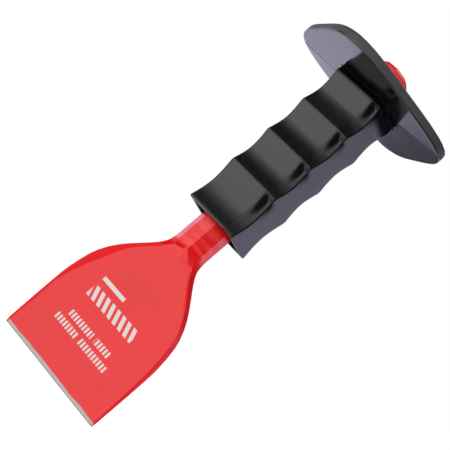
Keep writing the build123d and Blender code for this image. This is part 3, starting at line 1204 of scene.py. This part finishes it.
def moulded_plastic(name, settings):
    """Dark grey moulded plastic: fine-grained on the sleeve, shiny under the guard."""
    material = bpy.data.materials.new(name)
    material.use_nodes = True
    tree = material.node_tree
    tree.nodes.clear()
    nodes, links = tree.nodes, tree.links

    tone = nodes.new("NodeFrame")
    tone.label = "Plastic colour"
    sheen = nodes.new("NodeFrame")
    sheen.label = "Sheen from the mould"
    grain_frame = nodes.new("NodeFrame")
    grain_frame.label = "Mould grain"

    coords = nodes.new("ShaderNodeTexCoord")
    coords.label = "Place on the moulding"
    split = nodes.new("ShaderNodeSeparateXYZ")
    split.label = "Height on the moulding"

    cloud = nodes.new("ShaderNodeTexNoise")
    cloud.label = "Slow colour drift"
    cloud.inputs["Scale"].default_value = 45.0
    cloud.inputs["Detail"].default_value = 4.0
    shade = nodes.new("ShaderNodeValToRGB")
    shade.label = "Dark and scuffed plastic"
    shade.color_ramp.elements[0].position = 0.3
    shade.color_ramp.elements[0].color = (*[0.85 * part for part in settings.plastic], 1.0)
    shade.color_ramp.elements[1].position = 0.75
    shade.color_ramp.elements[1].color = (*[1.12 * part for part in settings.plastic], 1.0)
    fleck = nodes.new("ShaderNodeTexNoise")
    fleck.label = "Fine pale dust"
    fleck.inputs["Scale"].default_value = 1400.0
    fleck.inputs["Detail"].default_value = 1.0
    fleck_mask = nodes.new("ShaderNodeMapRange")
    fleck_mask.label = "Dust only on peaks"
    fleck_mask.inputs["From Min"].default_value = 0.62
    fleck_mask.inputs["From Max"].default_value = 0.8
    fleck_mask.inputs["To Max"].default_value = 0.35
    dusted = nodes.new("ShaderNodeMix")
    dusted.label = "Plastic with dust"
    dusted.data_type = "RGBA"
    dusted.inputs["B"].default_value = (*settings.plastic_dust, 1.0)

    rim_band = nodes.new("ShaderNodeMapRange")
    rim_band.label = "From the guard's rim up"
    rim_band.inputs["From Min"].default_value = (GUARD_FLOOR + 0.35) * MM
    rim_band.inputs["From Max"].default_value = (GUARD_FLOOR + 1.05) * MM
    scuffed = nodes.new("ShaderNodeMix")
    scuffed.label = "Rim scuffed paler"
    scuffed.data_type = "RGBA"
    scuffed.inputs["B"].default_value = (*settings.plastic_scuffed, 1.0)

    below_guard = nodes.new("ShaderNodeMapRange")
    below_guard.label = "Polished mould under the guard"
    below_guard.inputs["From Min"].default_value = (GUARD_FLOOR - 2.25) * MM
    below_guard.inputs["From Max"].default_value = (GUARD_FLOOR - 1.25) * MM
    below_guard.inputs["To Min"].default_value = 0.0
    below_guard.inputs["To Max"].default_value = 1.0
    rim_start = nodes.new("ShaderNodeMapRange")
    rim_start.label = "Grained again on the rim and top"
    rim_start.inputs["From Min"].default_value = (GUARD_FLOOR + 0.35) * MM
    rim_start.inputs["From Max"].default_value = (GUARD_FLOOR + 0.65) * MM
    rim_start.inputs["To Min"].default_value = 1.0
    rim_start.inputs["To Max"].default_value = 0.0
    polished = nodes.new("ShaderNodeMath")
    polished.label = "Polished underside only"
    polished.operation = "MULTIPLY"
    patch = nodes.new("ShaderNodeTexNoise")
    patch.label = "Handled patches"
    patch.inputs["Scale"].default_value = 80.0
    patch.inputs["Detail"].default_value = 3.0
    grained_gloss = nodes.new("ShaderNodeMapRange")
    grained_gloss.label = "Gloss of the grained sides"
    grained_gloss.inputs["To Min"].default_value = 0.22
    grained_gloss.inputs["To Max"].default_value = 0.32
    roughness = nodes.new("ShaderNodeMix")
    roughness.label = "Grained or polished"
    roughness.data_type = "FLOAT"
    roughness.inputs["B"].default_value = 0.13

    worn = nodes.new("ShaderNodeMix")
    worn.label = "Scuffed rim is dull"
    worn.data_type = "FLOAT"
    worn.inputs["B"].default_value = 0.6

    grain = nodes.new("ShaderNodeTexNoise")
    grain.label = "Spark-eroded grain"
    grain.inputs["Scale"].default_value = 1150.0
    grain.inputs["Detail"].default_value = 3.0
    grain_bump = nodes.new("ShaderNodeBump")
    grain_bump.label = "Fine grain"
    grain_bump.inputs["Distance"].default_value = 0.00012
    grain_fade = nodes.new("ShaderNodeMapRange")
    grain_fade.label = "No grain where polished"
    grain_fade.inputs["To Min"].default_value = 0.55
    grain_fade.inputs["To Max"].default_value = 0.03
    sink = nodes.new("ShaderNodeTexNoise")
    sink.label = "Sink marks"
    sink.inputs["Scale"].default_value = 38.0
    sink.inputs["Detail"].default_value = 1.0
    sink_bump = nodes.new("ShaderNodeBump")
    sink_bump.label = "Broad sink marks"
    sink_bump.inputs["Strength"].default_value = 0.12
    sink_bump.inputs["Distance"].default_value = 0.0006

    off_line = nodes.new("ShaderNodeMath")
    off_line.label = "Distance from the fold line"
    off_line.operation = "ABSOLUTE"
    fold = nodes.new("ShaderNodeMapRange")
    fold.label = "Thin fold line"
    fold.interpolation_type = "SMOOTHSTEP"
    fold.inputs["From Min"].default_value = 0.0001
    fold.inputs["From Max"].default_value = 0.0013
    fold_bump = nodes.new("ShaderNodeBump")
    fold_bump.label = "Fold under the guard"
    fold_bump.inputs["Distance"].default_value = 0.0009

    # Painted shade: a dull black diffuse is mixed in where the shade shares say, darkening the root, the
    # underside by the sleeve and the mouth.
    painted_shade = nodes.new("ShaderNodeAttribute")
    painted_shade.label = "Where shade is painted"
    painted_shade.attribute_name = "painted_shade_share"
    shade_cover = nodes.new("ShaderNodeMapRange")
    shade_cover.label = "Painted shade in the root and the mouth"
    shade_cover.inputs["To Max"].default_value = 0.92
    black_shade = nodes.new("ShaderNodeBsdfDiffuse")
    black_shade.label = "Dull black painted shade"
    black_shade.inputs["Color"].default_value = (0.002, 0.002, 0.0025, 1.0)
    shade_mix = nodes.new("ShaderNodeMixShader")
    shade_mix.label = "Plastic or black painted shade"

    shader = nodes.new("ShaderNodeBsdfPrincipled")
    shader.label = "Moulded grip"
    shader.inputs["IOR"].default_value = 1.58
    output = nodes.new("ShaderNodeOutputMaterial")
    output.label = "Moulding"

    for node, spot in (
        (coords, (-1700, 0)), (split, (-1500, 0)), (shade_mix, (180, 300)), (shader, (-150, 300)),
        (output, (400, 300)),
    ):
        node.location = spot
    for node, spot in (
        (cloud, (-1300, 600)), (shade, (-1050, 600)), (fleck, (-1300, 350)),
        (fleck_mask, (-1050, 350)), (dusted, (-700, 600)), (rim_band, (-1050, 850)),
        (scuffed, (-850, 800)), (painted_shade, (-150, -150)), (shade_cover, (50, -150)), (black_shade, (50, -350)),
    ):
        node.location = spot
        node.parent = tone
    for node, spot in (
        (below_guard, (-1300, 0)), (rim_start, (-1300, -250)), (polished, (-1050, -100)),
        (patch, (-1300, 180)), (grained_gloss, (-1050, 120)), (roughness, (-700, 100)),
        (worn, (-500, 100)),
    ):
        node.location = spot
        node.parent = sheen
    for node, spot in (
        (grain, (-1300, -550)), (grain_bump, (-700, -550)), (grain_fade, (-950, -700)),
        (sink, (-1300, -900)), (sink_bump, (-450, -700)), (off_line, (-1300, -1150)),
        (fold, (-1050, -1150)), (fold_bump, (-250, -900)),
    ):
        node.location = spot
        node.parent = grain_frame

    links.new(coords.outputs["Object"], split.inputs["Vector"])
    links.new(coords.outputs["Object"], cloud.inputs["Vector"])
    links.new(cloud.outputs["Fac"], shade.inputs["Fac"])
    links.new(coords.outputs["Object"], fleck.inputs["Vector"])
    links.new(fleck.outputs["Fac"], fleck_mask.inputs["Value"])
    links.new(split.outputs["Z"], rim_band.inputs["Value"])
    links.new(rim_band.outputs["Result"], scuffed.inputs["Factor"])
    links.new(shade.outputs["Color"], scuffed.inputs["A"])
    links.new(scuffed.outputs["Result"], dusted.inputs["A"])
    links.new(fleck_mask.outputs["Result"], dusted.inputs["Factor"])
    links.new(split.outputs["Z"], below_guard.inputs["Value"])
    links.new(split.outputs["Z"], rim_start.inputs["Value"])
    links.new(below_guard.outputs["Result"], polished.inputs[0])
    links.new(rim_start.outputs["Result"], polished.inputs[1])
    links.new(coords.outputs["Object"], patch.inputs["Vector"])
    links.new(patch.outputs["Fac"], grained_gloss.inputs["Value"])
    links.new(grained_gloss.outputs["Result"], roughness.inputs["A"])
    links.new(polished.outputs[0], roughness.inputs["Factor"])
    links.new(coords.outputs["Object"], grain.inputs["Vector"])
    links.new(grain.outputs["Fac"], grain_bump.inputs["Height"])
    links.new(polished.outputs[0], grain_fade.inputs["Value"])
    links.new(grain_fade.outputs["Result"], grain_bump.inputs["Strength"])
    links.new(coords.outputs["Object"], sink.inputs["Vector"])
    links.new(sink.outputs["Fac"], sink_bump.inputs["Height"])
    links.new(grain_bump.outputs["Normal"], sink_bump.inputs["Normal"])
    links.new(dusted.outputs["Result"], shader.inputs["Base Color"])
    links.new(rim_band.outputs["Result"], worn.inputs["Factor"])
    links.new(roughness.outputs["Result"], worn.inputs["A"])
    links.new(worn.outputs["Result"], shader.inputs["Roughness"])
    links.new(split.outputs["Y"], off_line.inputs[0])
    links.new(off_line.outputs[0], fold.inputs["Value"])
    links.new(fold.outputs["Result"], fold_bump.inputs["Height"])
    links.new(polished.outputs[0], fold_bump.inputs["Strength"])
    links.new(sink_bump.outputs["Normal"], fold_bump.inputs["Normal"])
    links.new(fold_bump.outputs["Normal"], shader.inputs["Normal"])
    links.new(painted_shade.outputs["Fac"], shade_cover.inputs["Value"])
    links.new(shade_cover.outputs["Result"], shade_mix.inputs["Fac"])
    links.new(shader.outputs["BSDF"], shade_mix.inputs[1])
    links.new(black_shade.outputs["BSDF"], shade_mix.inputs[2])
    links.new(shade_mix.outputs["Shader"], output.inputs["Surface"])
    return material


def studio_floor(name, settings):
    """Plain pale floor, bright enough to leave only a faint shadow."""
    material = bpy.data.materials.new(name)
    material.use_nodes = True
    tree = material.node_tree
    tree.nodes.clear()
    nodes, links = tree.nodes, tree.links
    sweep = nodes.new("NodeFrame")
    sweep.label = "Pale sweep"
    coords = nodes.new("ShaderNodeTexCoord")
    coords.label = "Place on the floor"
    mottle = nodes.new("ShaderNodeTexNoise")
    mottle.label = "Faint paper mottle"
    mottle.inputs["Scale"].default_value = 12.0
    paper = nodes.new("ShaderNodeValToRGB")
    paper.label = "Paper white"
    paper.color_ramp.elements[0].color = (*[0.985 * part for part in settings.floor_white], 1.0)
    paper.color_ramp.elements[1].color = (*settings.floor_white, 1.0)
    shader = nodes.new("ShaderNodeBsdfPrincipled")
    shader.label = "Matt paper, lit through"
    shader.inputs["Roughness"].default_value = 0.9
    shader.inputs["Emission Color"].default_value = (1.0, 1.0, 1.0, 1.0)
    shader.inputs["Emission Strength"].default_value = 0.6
    output = nodes.new("ShaderNodeOutputMaterial")
    output.label = "Floor"

    for node, spot in (
        (coords, (-900, 0)), (shader, (-100, 0)), (output, (250, 0)),
    ):
        node.location = spot
    for node, spot in (
        (mottle, (-700, 0)), (paper, (-450, 0)),
    ):
        node.location = spot
        node.parent = sweep

    links.new(coords.outputs["Object"], mottle.inputs["Vector"])
    links.new(mottle.outputs["Fac"], paper.inputs["Fac"])
    links.new(paper.outputs["Color"], shader.inputs["Base Color"])
    links.new(shader.outputs["BSDF"], output.inputs["Surface"])
    return material


def studio_world(settings):
    """White surround: a bright front-left, and dark flags right, left, behind and above."""
    world = bpy.data.worlds.new("Studio surround")
    world.use_nodes = True
    world.cycles.sampling_method = "NONE"
    tree = world.node_tree
    tree.nodes.clear()
    nodes, links = tree.nodes, tree.links
    coords = nodes.new("ShaderNodeTexCoord")
    coords.label = "Direction"
    split = nodes.new("ShaderNodeSeparateXYZ")
    split.label = "Height of the direction"
    toward_key = nodes.new("ShaderNodeVectorMath")
    toward_key.label = "How near the key side"
    toward_key.operation = "DOT_PRODUCT"
    toward_key.inputs[1].default_value = Vector(settings.key_side).normalized()
    key = nodes.new("ShaderNodeMapRange")
    key.label = "Broad front-left glow"
    key.interpolation_type = "SMOOTHSTEP"
    key.inputs["From Min"].default_value = 0.6
    key.inputs["From Max"].default_value = 0.9
    key.inputs["To Min"].default_value = settings.surround
    key.inputs["To Max"].default_value = settings.key_level
    toward_dim = nodes.new("ShaderNodeVectorMath")
    toward_dim.label = "How near the dark flag"
    toward_dim.operation = "DOT_PRODUCT"
    toward_dim.inputs[1].default_value = Vector(settings.right_flag).normalized()
    dim = nodes.new("ShaderNodeMapRange")
    dim.label = "Dark flag on the right"
    dim.interpolation_type = "SMOOTHSTEP"
    dim.inputs["From Min"].default_value = 0.68
    dim.inputs["From Max"].default_value = 0.79
    dim.inputs["To Min"].default_value = 1.0
    dim.inputs["To Max"].default_value = 0.01
    lean_right = nodes.new("ShaderNodeMath")
    lean_right.label = "The dark flag hangs higher to the right"
    lean_right.operation = "MULTIPLY_ADD"
    lean_right.inputs[1].default_value = -0.03
    lean = nodes.new("ShaderNodeMath")
    lean.label = "The dark flag hangs lower behind"
    lean.operation = "MULTIPLY_ADD"
    lean.inputs[1].default_value = 0.09
    heights = nodes.new("ShaderNodeMapRange")
    heights.label = "From straight down to straight up"
    heights.inputs["From Min"].default_value = -1.0
    heights.inputs["From Max"].default_value = 1.0
    bands = nodes.new("ShaderNodeValToRGB")
    bands.label = "Dark below, bright level, dark flag above, small light overhead"
    bands.color_ramp.interpolation = "EASE"
    levels = ((0.005, 0.05), (0.04, 1.0), (0.6, 1.0), (0.78, 0.02), (0.95, 0.05), (0.99, 2.2))
    while len(bands.color_ramp.elements) < len(levels):
        bands.color_ramp.elements.new(0.5)
    for element, (height, glow) in zip(bands.color_ramp.elements, levels):
        element.position = height
        element.color = (glow, glow, glow, 1.0)
    toward_back = nodes.new("ShaderNodeVectorMath")
    toward_back.label = "How near the flag behind"
    toward_back.operation = "DOT_PRODUCT"
    toward_back.inputs[1].default_value = Vector(settings.back_flag).normalized()
    back = nodes.new("ShaderNodeMapRange")
    back.label = "Dark flag behind"
    back.interpolation_type = "SMOOTHSTEP"
    back.inputs["From Min"].default_value = 0.935
    back.inputs["From Max"].default_value = 0.97
    back.inputs["To Min"].default_value = 1.0
    back.inputs["To Max"].default_value = 0.15
    toward_left = nodes.new("ShaderNodeVectorMath")
    toward_left.label = "How near the flag on the left"
    toward_left.operation = "DOT_PRODUCT"
    toward_left.inputs[1].default_value = Vector(settings.left_flag).normalized()
    left = nodes.new("ShaderNodeMapRange")
    left.label = "Narrow dark flag on the left"
    left.interpolation_type = "SMOOTHSTEP"
    left.inputs["From Min"].default_value = 0.93
    left.inputs["From Max"].default_value = 0.98
    left.inputs["To Min"].default_value = 1.0
    left.inputs["To Max"].default_value = 0.05
    both_flags = nodes.new("ShaderNodeMath")
    both_flags.label = "Left flag as well"
    both_flags.operation = "MULTIPLY"
    side_flags = nodes.new("ShaderNodeMath")
    side_flags.label = "Side and back flags"
    side_flags.operation = "MULTIPLY"
    falls = nodes.new("ShaderNodeMath")
    falls.label = "Flags together"
    falls.operation = "MULTIPLY"
    level = nodes.new("ShaderNodeMath")
    level.label = "Surround brightness"
    level.operation = "MULTIPLY"
    cool = nodes.new("ShaderNodeMapRange")
    cool.label = "How far behind"
    cool.inputs["From Min"].default_value = -0.2
    cool.inputs["From Max"].default_value = 0.5
    tint = nodes.new("ShaderNodeValToRGB")
    tint.label = "Cooler behind"
    tint.color_ramp.elements[0].color = (1.0, 1.0, 0.99, 1.0)
    tint.color_ramp.elements[1].color = (*settings.back_tint, 1.0)
    mirrored = nodes.new("ShaderNodeBackground")
    mirrored.label = "What glossy surfaces see"
    matt = nodes.new("ShaderNodeMapRange")
    matt.label = "Soft light, a little stronger from the key side"
    matt.inputs["From Min"].default_value = -1.0
    matt.inputs["To Min"].default_value = 0.78 * settings.soft_level
    matt.inputs["To Max"].default_value = 1.22 * settings.soft_level
    soft = nodes.new("ShaderNodeBackground")
    soft.label = "Soft light on matt surfaces"
    plain = nodes.new("ShaderNodeBackground")
    plain.label = "Plain white backdrop"
    plain.inputs["Color"].default_value = (1.0, 1.0, 1.0, 1.0)
    plain.inputs["Strength"].default_value = 1.0
    seen = nodes.new("ShaderNodeLightPath")
    seen.label = "Backdrop or light"
    lit = nodes.new("ShaderNodeMixShader")
    lit.label = "Soft light for matt, flags for gloss"
    choose = nodes.new("ShaderNodeMixShader")
    choose.label = "Backdrop where seen directly"
    output = nodes.new("ShaderNodeOutputWorld")
    output.label = "Surround"

    for node, spot in (
        (coords, (-1300, 0)), (split, (-1100, -400)), (toward_key, (-1100, 250)),
        (key, (-850, 250)), (toward_dim, (-1100, 0)), (dim, (-850, 0)), (lean_right, (-950, -320)),
        (lean, (-1000, -550)), (heights, (-850, -400)), (bands, (-620, -400)),
        (toward_back, (-1100, -800)), (back, (-850, -850)), (toward_left, (-1100, -650)),
        (left, (-850, -650)), (both_flags, (-600, -400)), (side_flags, (-700, -100)),
        (falls, (-600, -150)), (level, (-400, 50)), (cool, (-850, -1100)), (tint, (-600, -1100)),
        (mirrored, (-100, -100)), (matt, (-400, 400)), (soft, (-100, 100)), (plain, (100, 250)),
        (seen, (-100, 600)), (lit, (100, 0)), (choose, (350, 0)), (output, (550, 0)),
    ):
        node.location = spot

    links.new(coords.outputs["Generated"], toward_key.inputs[0])
    links.new(coords.outputs["Generated"], toward_dim.inputs[0])
    links.new(coords.outputs["Generated"], split.inputs["Vector"])
    links.new(toward_key.outputs["Value"], key.inputs["Value"])
    links.new(toward_dim.outputs["Value"], dim.inputs["Value"])
    links.new(split.outputs["Y"], lean.inputs[0])
    links.new(split.outputs["X"], lean_right.inputs[0])
    links.new(split.outputs["Z"], lean.inputs[2])
    links.new(lean.outputs[0], lean_right.inputs[2])
    links.new(lean_right.outputs[0], heights.inputs["Value"])
    links.new(heights.outputs["Result"], bands.inputs["Fac"])
    links.new(coords.outputs["Generated"], toward_back.inputs[0])
    links.new(coords.outputs["Generated"], toward_left.inputs[0])
    links.new(toward_left.outputs["Value"], left.inputs["Value"])
    links.new(toward_back.outputs["Value"], back.inputs["Value"])
    links.new(dim.outputs["Result"], side_flags.inputs[0])
    links.new(back.outputs["Result"], side_flags.inputs[1])
    links.new(side_flags.outputs[0], both_flags.inputs[0])
    links.new(left.outputs["Result"], both_flags.inputs[1])
    links.new(both_flags.outputs[0], falls.inputs[0])
    links.new(bands.outputs["Color"], falls.inputs[1])
    links.new(falls.outputs[0], level.inputs[0])
    links.new(key.outputs["Result"], level.inputs[1])
    links.new(split.outputs["Y"], cool.inputs["Value"])
    links.new(cool.outputs["Result"], tint.inputs["Fac"])
    links.new(tint.outputs["Color"], mirrored.inputs["Color"])
    links.new(level.outputs[0], mirrored.inputs["Strength"])
    links.new(toward_key.outputs["Value"], matt.inputs["Value"])
    links.new(matt.outputs["Result"], soft.inputs["Strength"])
    links.new(seen.outputs["Is Diffuse Ray"], lit.inputs["Fac"])
    links.new(mirrored.outputs["Background"], lit.inputs[1])
    links.new(soft.outputs["Background"], lit.inputs[2])
    links.new(seen.outputs["Is Camera Ray"], choose.inputs["Fac"])
    links.new(lit.outputs["Shader"], choose.inputs[1])
    links.new(plain.outputs["Background"], choose.inputs[2])
    links.new(choose.outputs["Shader"], output.inputs["Surface"])
    return world


# ---------------------------------------------------------------- settings

class BOLSTER_PG_sizes(bpy.types.PropertyGroup):
    groove_depth: bpy.props.FloatProperty(
        name="Groove depth", description="How deep each finger groove is pressed",
        default=GROOVE_DEPTH * MM, min=0.0, max=0.005, subtype="DISTANCE", unit="LENGTH")
    first_crest: bpy.props.FloatProperty(
        name="First crest", description="Height of the lowest crest between two grooves",
        default=FIRST_CREST * MM, subtype="DISTANCE", unit="LENGTH")
    crest_pitch: bpy.props.FloatProperty(
        name="Crest pitch", description="Distance from one crest to the next",
        default=CREST_PITCH * MM, subtype="DISTANCE", unit="LENGTH")
    crest_softness: bpy.props.FloatProperty(
        name="Crest softness", description="How much each crest is rounded over",
        default=CREST_SOFTNESS, min=0.01, max=0.5, subtype="FACTOR")
    scoop_depth: bpy.props.FloatProperty(
        name="Scoop depth", description="How deep the thumb scoop lies before each crest",
        default=SCOOP_DEPTH * MM, min=0.0, max=0.003, subtype="DISTANCE", unit="LENGTH")


class BOLSTER_PG_finish(bpy.types.PropertyGroup):
    enamel: bpy.props.FloatVectorProperty(
        name="Enamel", description="Red enamel where it is full", subtype="COLOR",
        default=(0.80, 0.004, 0.006), min=0.0, max=1.0)
    enamel_thin: bpy.props.FloatVectorProperty(
        name="Thin enamel", description="Paler bands where the paint is thin on the neck",
        subtype="COLOR", min=0.0, max=1.0, default=(0.95, 0.075, 0.06))
    # Deep enamel also colours the dull red painted shade.
    enamel_deep: bpy.props.FloatVectorProperty(
        name="Deep enamel", description="Deeper red of specks, drift and dull red painted shade", subtype="COLOR",
        default=(0.70, 0.003, 0.005), min=0.0, max=1.0)
    bare_steel: bpy.props.FloatVectorProperty(
        name="Bare steel", description="Ground cutting edge", subtype="COLOR",
        default=(0.36, 0.35, 0.345), min=0.0, max=1.0)
    print_white: bpy.props.FloatVectorProperty(
        name="Print", description="White ink on the blade", subtype="COLOR",
        default=(0.70, 0.62, 0.61), min=0.0, max=1.0)
    plastic: bpy.props.FloatVectorProperty(
        name="Plastic", description="Grip and guard moulding", subtype="COLOR",
        default=(0.0045, 0.0045, 0.0046), min=0.0, max=1.0)
    plastic_scuffed: bpy.props.FloatVectorProperty(
        name="Scuffed plastic", description="Guard rim and striking side", subtype="COLOR",
        default=(0.037, 0.037, 0.038), min=0.0, max=1.0)
    plastic_dust: bpy.props.FloatVectorProperty(
        name="Dust", description="Pale dust in the plastic's grain", subtype="COLOR",
        default=(0.03, 0.03, 0.031), min=0.0, max=1.0)


class BOLSTER_PG_stage(bpy.types.PropertyGroup):
    floor_white: bpy.props.FloatVectorProperty(
        name="Floor", description="Pale floor", subtype="COLOR",
        default=(0.93, 0.93, 0.93), min=0.0, max=1.0)
    floor_radius: bpy.props.FloatProperty(
        name="Floor radius", description="How far the floor reaches",
        default=4.0, subtype="DISTANCE", unit="LENGTH")
    surround: bpy.props.FloatProperty(
        name="Surround", description="Brightness of the studio surround",
        default=1.18, min=0.0)
    soft_level: bpy.props.FloatProperty(
        name="Soft light", description="Brightness of the light on matt surfaces",
        default=1.17, min=0.0)
    key_level: bpy.props.FloatProperty(
        name="Key", description="Brightness of the front-left glow",
        default=1.75, min=0.0)
    key_side: bpy.props.FloatVectorProperty(
        name="Key side", description="Direction of the front-left glow", subtype="DIRECTION",
        default=(-0.46, -0.83, -0.32))
    back_tint: bpy.props.FloatVectorProperty(
        name="Back tint", description="Cooler light from behind", subtype="COLOR",
        default=(0.80, 0.76, 1.0), min=0.0, max=1.0)
    left_flag: bpy.props.FloatVectorProperty(
        name="Left flag", description="Direction of the narrow dark flag on the left",
        subtype="DIRECTION", default=(-0.966, -0.259, 0.05))
    back_flag: bpy.props.FloatVectorProperty(
        name="Back flag", description="Direction of the dark flag behind", subtype="DIRECTION",
        default=(-0.2, 0.96, -0.15))
    right_flag: bpy.props.FloatVectorProperty(
        name="Right flag", description="Direction of the broad dark flag on the right", subtype="DIRECTION",
        default=(0.981, 0.086, -0.174))


# ---------------------------------------------------------------- pieces

class BOLSTER_OT_forged_chisel(bpy.types.Operator):
    """Build the forged chisel: blade, neck, octagonal shank and striking head"""
    bl_idname = "bolster.forged_chisel"
    bl_label = "Forged chisel"

    def execute(self, context):
        chisel = build_chisel()
        chisel.data.materials.append(red_enamel("red_enamel", context.scene.bolster_finish))
        weigh_normals(chisel)
        freeze(chisel)
        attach(chisel, "root")
        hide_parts("chisel_body")
        return {"FINISHED"}


class BOLSTER_OT_guard_grip(bpy.types.Operator):
    """Mould the sleeve grip with its finger grooves and square hand guard"""
    bl_idname = "bolster.guard_grip"
    bl_label = "Guard grip"

    def execute(self, context):
        sizes = context.scene.bolster_sizes
        grip = build_grip()
        plastic = moulded_plastic("moulded_plastic", context.scene.bolster_finish)
        grip.data.materials.append(plastic)
        tree = finger_groove_tree()
        grooves = grip.modifiers.new("Finger grooves", "NODES")
        grooves.node_group = tree
        for label, value in (
            ("Groove Depth", sizes.groove_depth), ("First Crest", sizes.first_crest),
            ("Crest Pitch", sizes.crest_pitch),
            ("First Groove Length", sizes.first_crest - GRIP_FOOT * MM),
            ("Crest Softness", sizes.crest_softness), ("Scoop Depth", sizes.scoop_depth),
            ("Moulding", plastic),
        ):
            set_tree_input(grooves, tree, label, value)
        weigh_normals(grip)
        freeze(grip)
        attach(grip, "root")
        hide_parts("guard_grip")
        return {"FINISHED"}


class BOLSTER_OT_studio_stage(bpy.types.Operator):
    """Lay the pale floor, the white surround and the camera"""
    bl_idname = "bolster.studio_stage"
    bl_label = "Studio stage"

    def execute(self, context):
        scene = context.scene
        settings = scene.bolster_stage
        floor_mesh = bpy.data.meshes.new("studio_floor")
        disc = bmesh.new()
        bmesh.ops.create_circle(disc, cap_ends=True, segments=96, radius=settings.floor_radius)
        bmesh.ops.translate(disc, verts=disc.verts, vec=(0.0, 0.0, -FLOOR_GAP * MM))
        disc.to_mesh(floor_mesh)
        disc.free()
        floor = bpy.data.objects.new("studio_floor", floor_mesh)
        scene.collection.objects.link(floor)
        floor.data.materials.append(studio_floor("studio_floor", settings))
        # the tool takes its light and reflections from the surround, not from the floor
        floor.visible_glossy = False
        floor.visible_diffuse = False
        scene.world = studio_world(settings)

        camera_data = bpy.data.cameras.new("Camera")
        camera_data.sensor_width = 36.0
        camera_data.lens = 105.57
        camera_data.clip_start, camera_data.clip_end = 0.01, 20.0
        camera = bpy.data.objects.new("Camera", camera_data)
        scene.collection.objects.link(camera)
        across = Vector((0.60886, 0.24569, 0.75427))
        upward = Vector((-0.62738, -0.43276, 0.64739))
        backward = Vector((0.48548, -0.86738, -0.10934))
        turn = Matrix((across, upward, backward)).transposed().to_4x4()
        camera.matrix_world = Matrix.Translation((0.31383, -0.55671, 0.04054)) @ turn
        scene.camera = camera
        scene.view_settings.view_transform = "Standard"
        scene.view_settings.look = "None"
        return {"FINISHED"}


class BOLSTER_PT_panel(bpy.types.Panel):
    """Lists the pieces and the sizes and colours they use"""
    bl_idname = "BOLSTER_PT_panel"
    bl_label = "Bolster"
    bl_space_type = "VIEW_3D"
    bl_region_type = "UI"
    bl_category = "Bolster"

    def draw(self, context):
        layout = self.layout
        scene = context.scene
        for group in (scene.bolster_sizes, scene.bolster_finish, scene.bolster_stage):
            column = layout.column()
            for key in group.__annotations__:
                column.prop(group, key)
        layout.operator("bolster.forged_chisel")
        layout.operator("bolster.guard_grip")
        layout.operator("bolster.studio_stage")


CLASSES = (
    BOLSTER_PG_sizes,
    BOLSTER_PG_finish,
    BOLSTER_PG_stage,
    BOLSTER_OT_forged_chisel,
    BOLSTER_OT_guard_grip,
    BOLSTER_OT_studio_stage,
    BOLSTER_PT_panel,
)


def register():
    """Registers the classes and hangs their settings on the scene."""
    for cls in CLASSES:
        bpy.utils.register_class(cls)
    bpy.types.Scene.bolster_sizes = bpy.props.PointerProperty(type=BOLSTER_PG_sizes)
    bpy.types.Scene.bolster_finish = bpy.props.PointerProperty(type=BOLSTER_PG_finish)
    bpy.types.Scene.bolster_stage = bpy.props.PointerProperty(type=BOLSTER_PG_stage)


def unregister():
    """Takes the settings off the scene and the classes away."""
    del bpy.types.Scene.bolster_stage
    del bpy.types.Scene.bolster_finish
    del bpy.types.Scene.bolster_sizes
    for cls in reversed(CLASSES):
        bpy.utils.unregister_class(cls)


def main():
    """Builds each piece and the stage."""
    register()
    bpy.ops.bolster.forged_chisel()
    bpy.ops.bolster.guard_grip()
    bpy.ops.bolster.studio_stage()


if __name__ == "__main__":
    main()
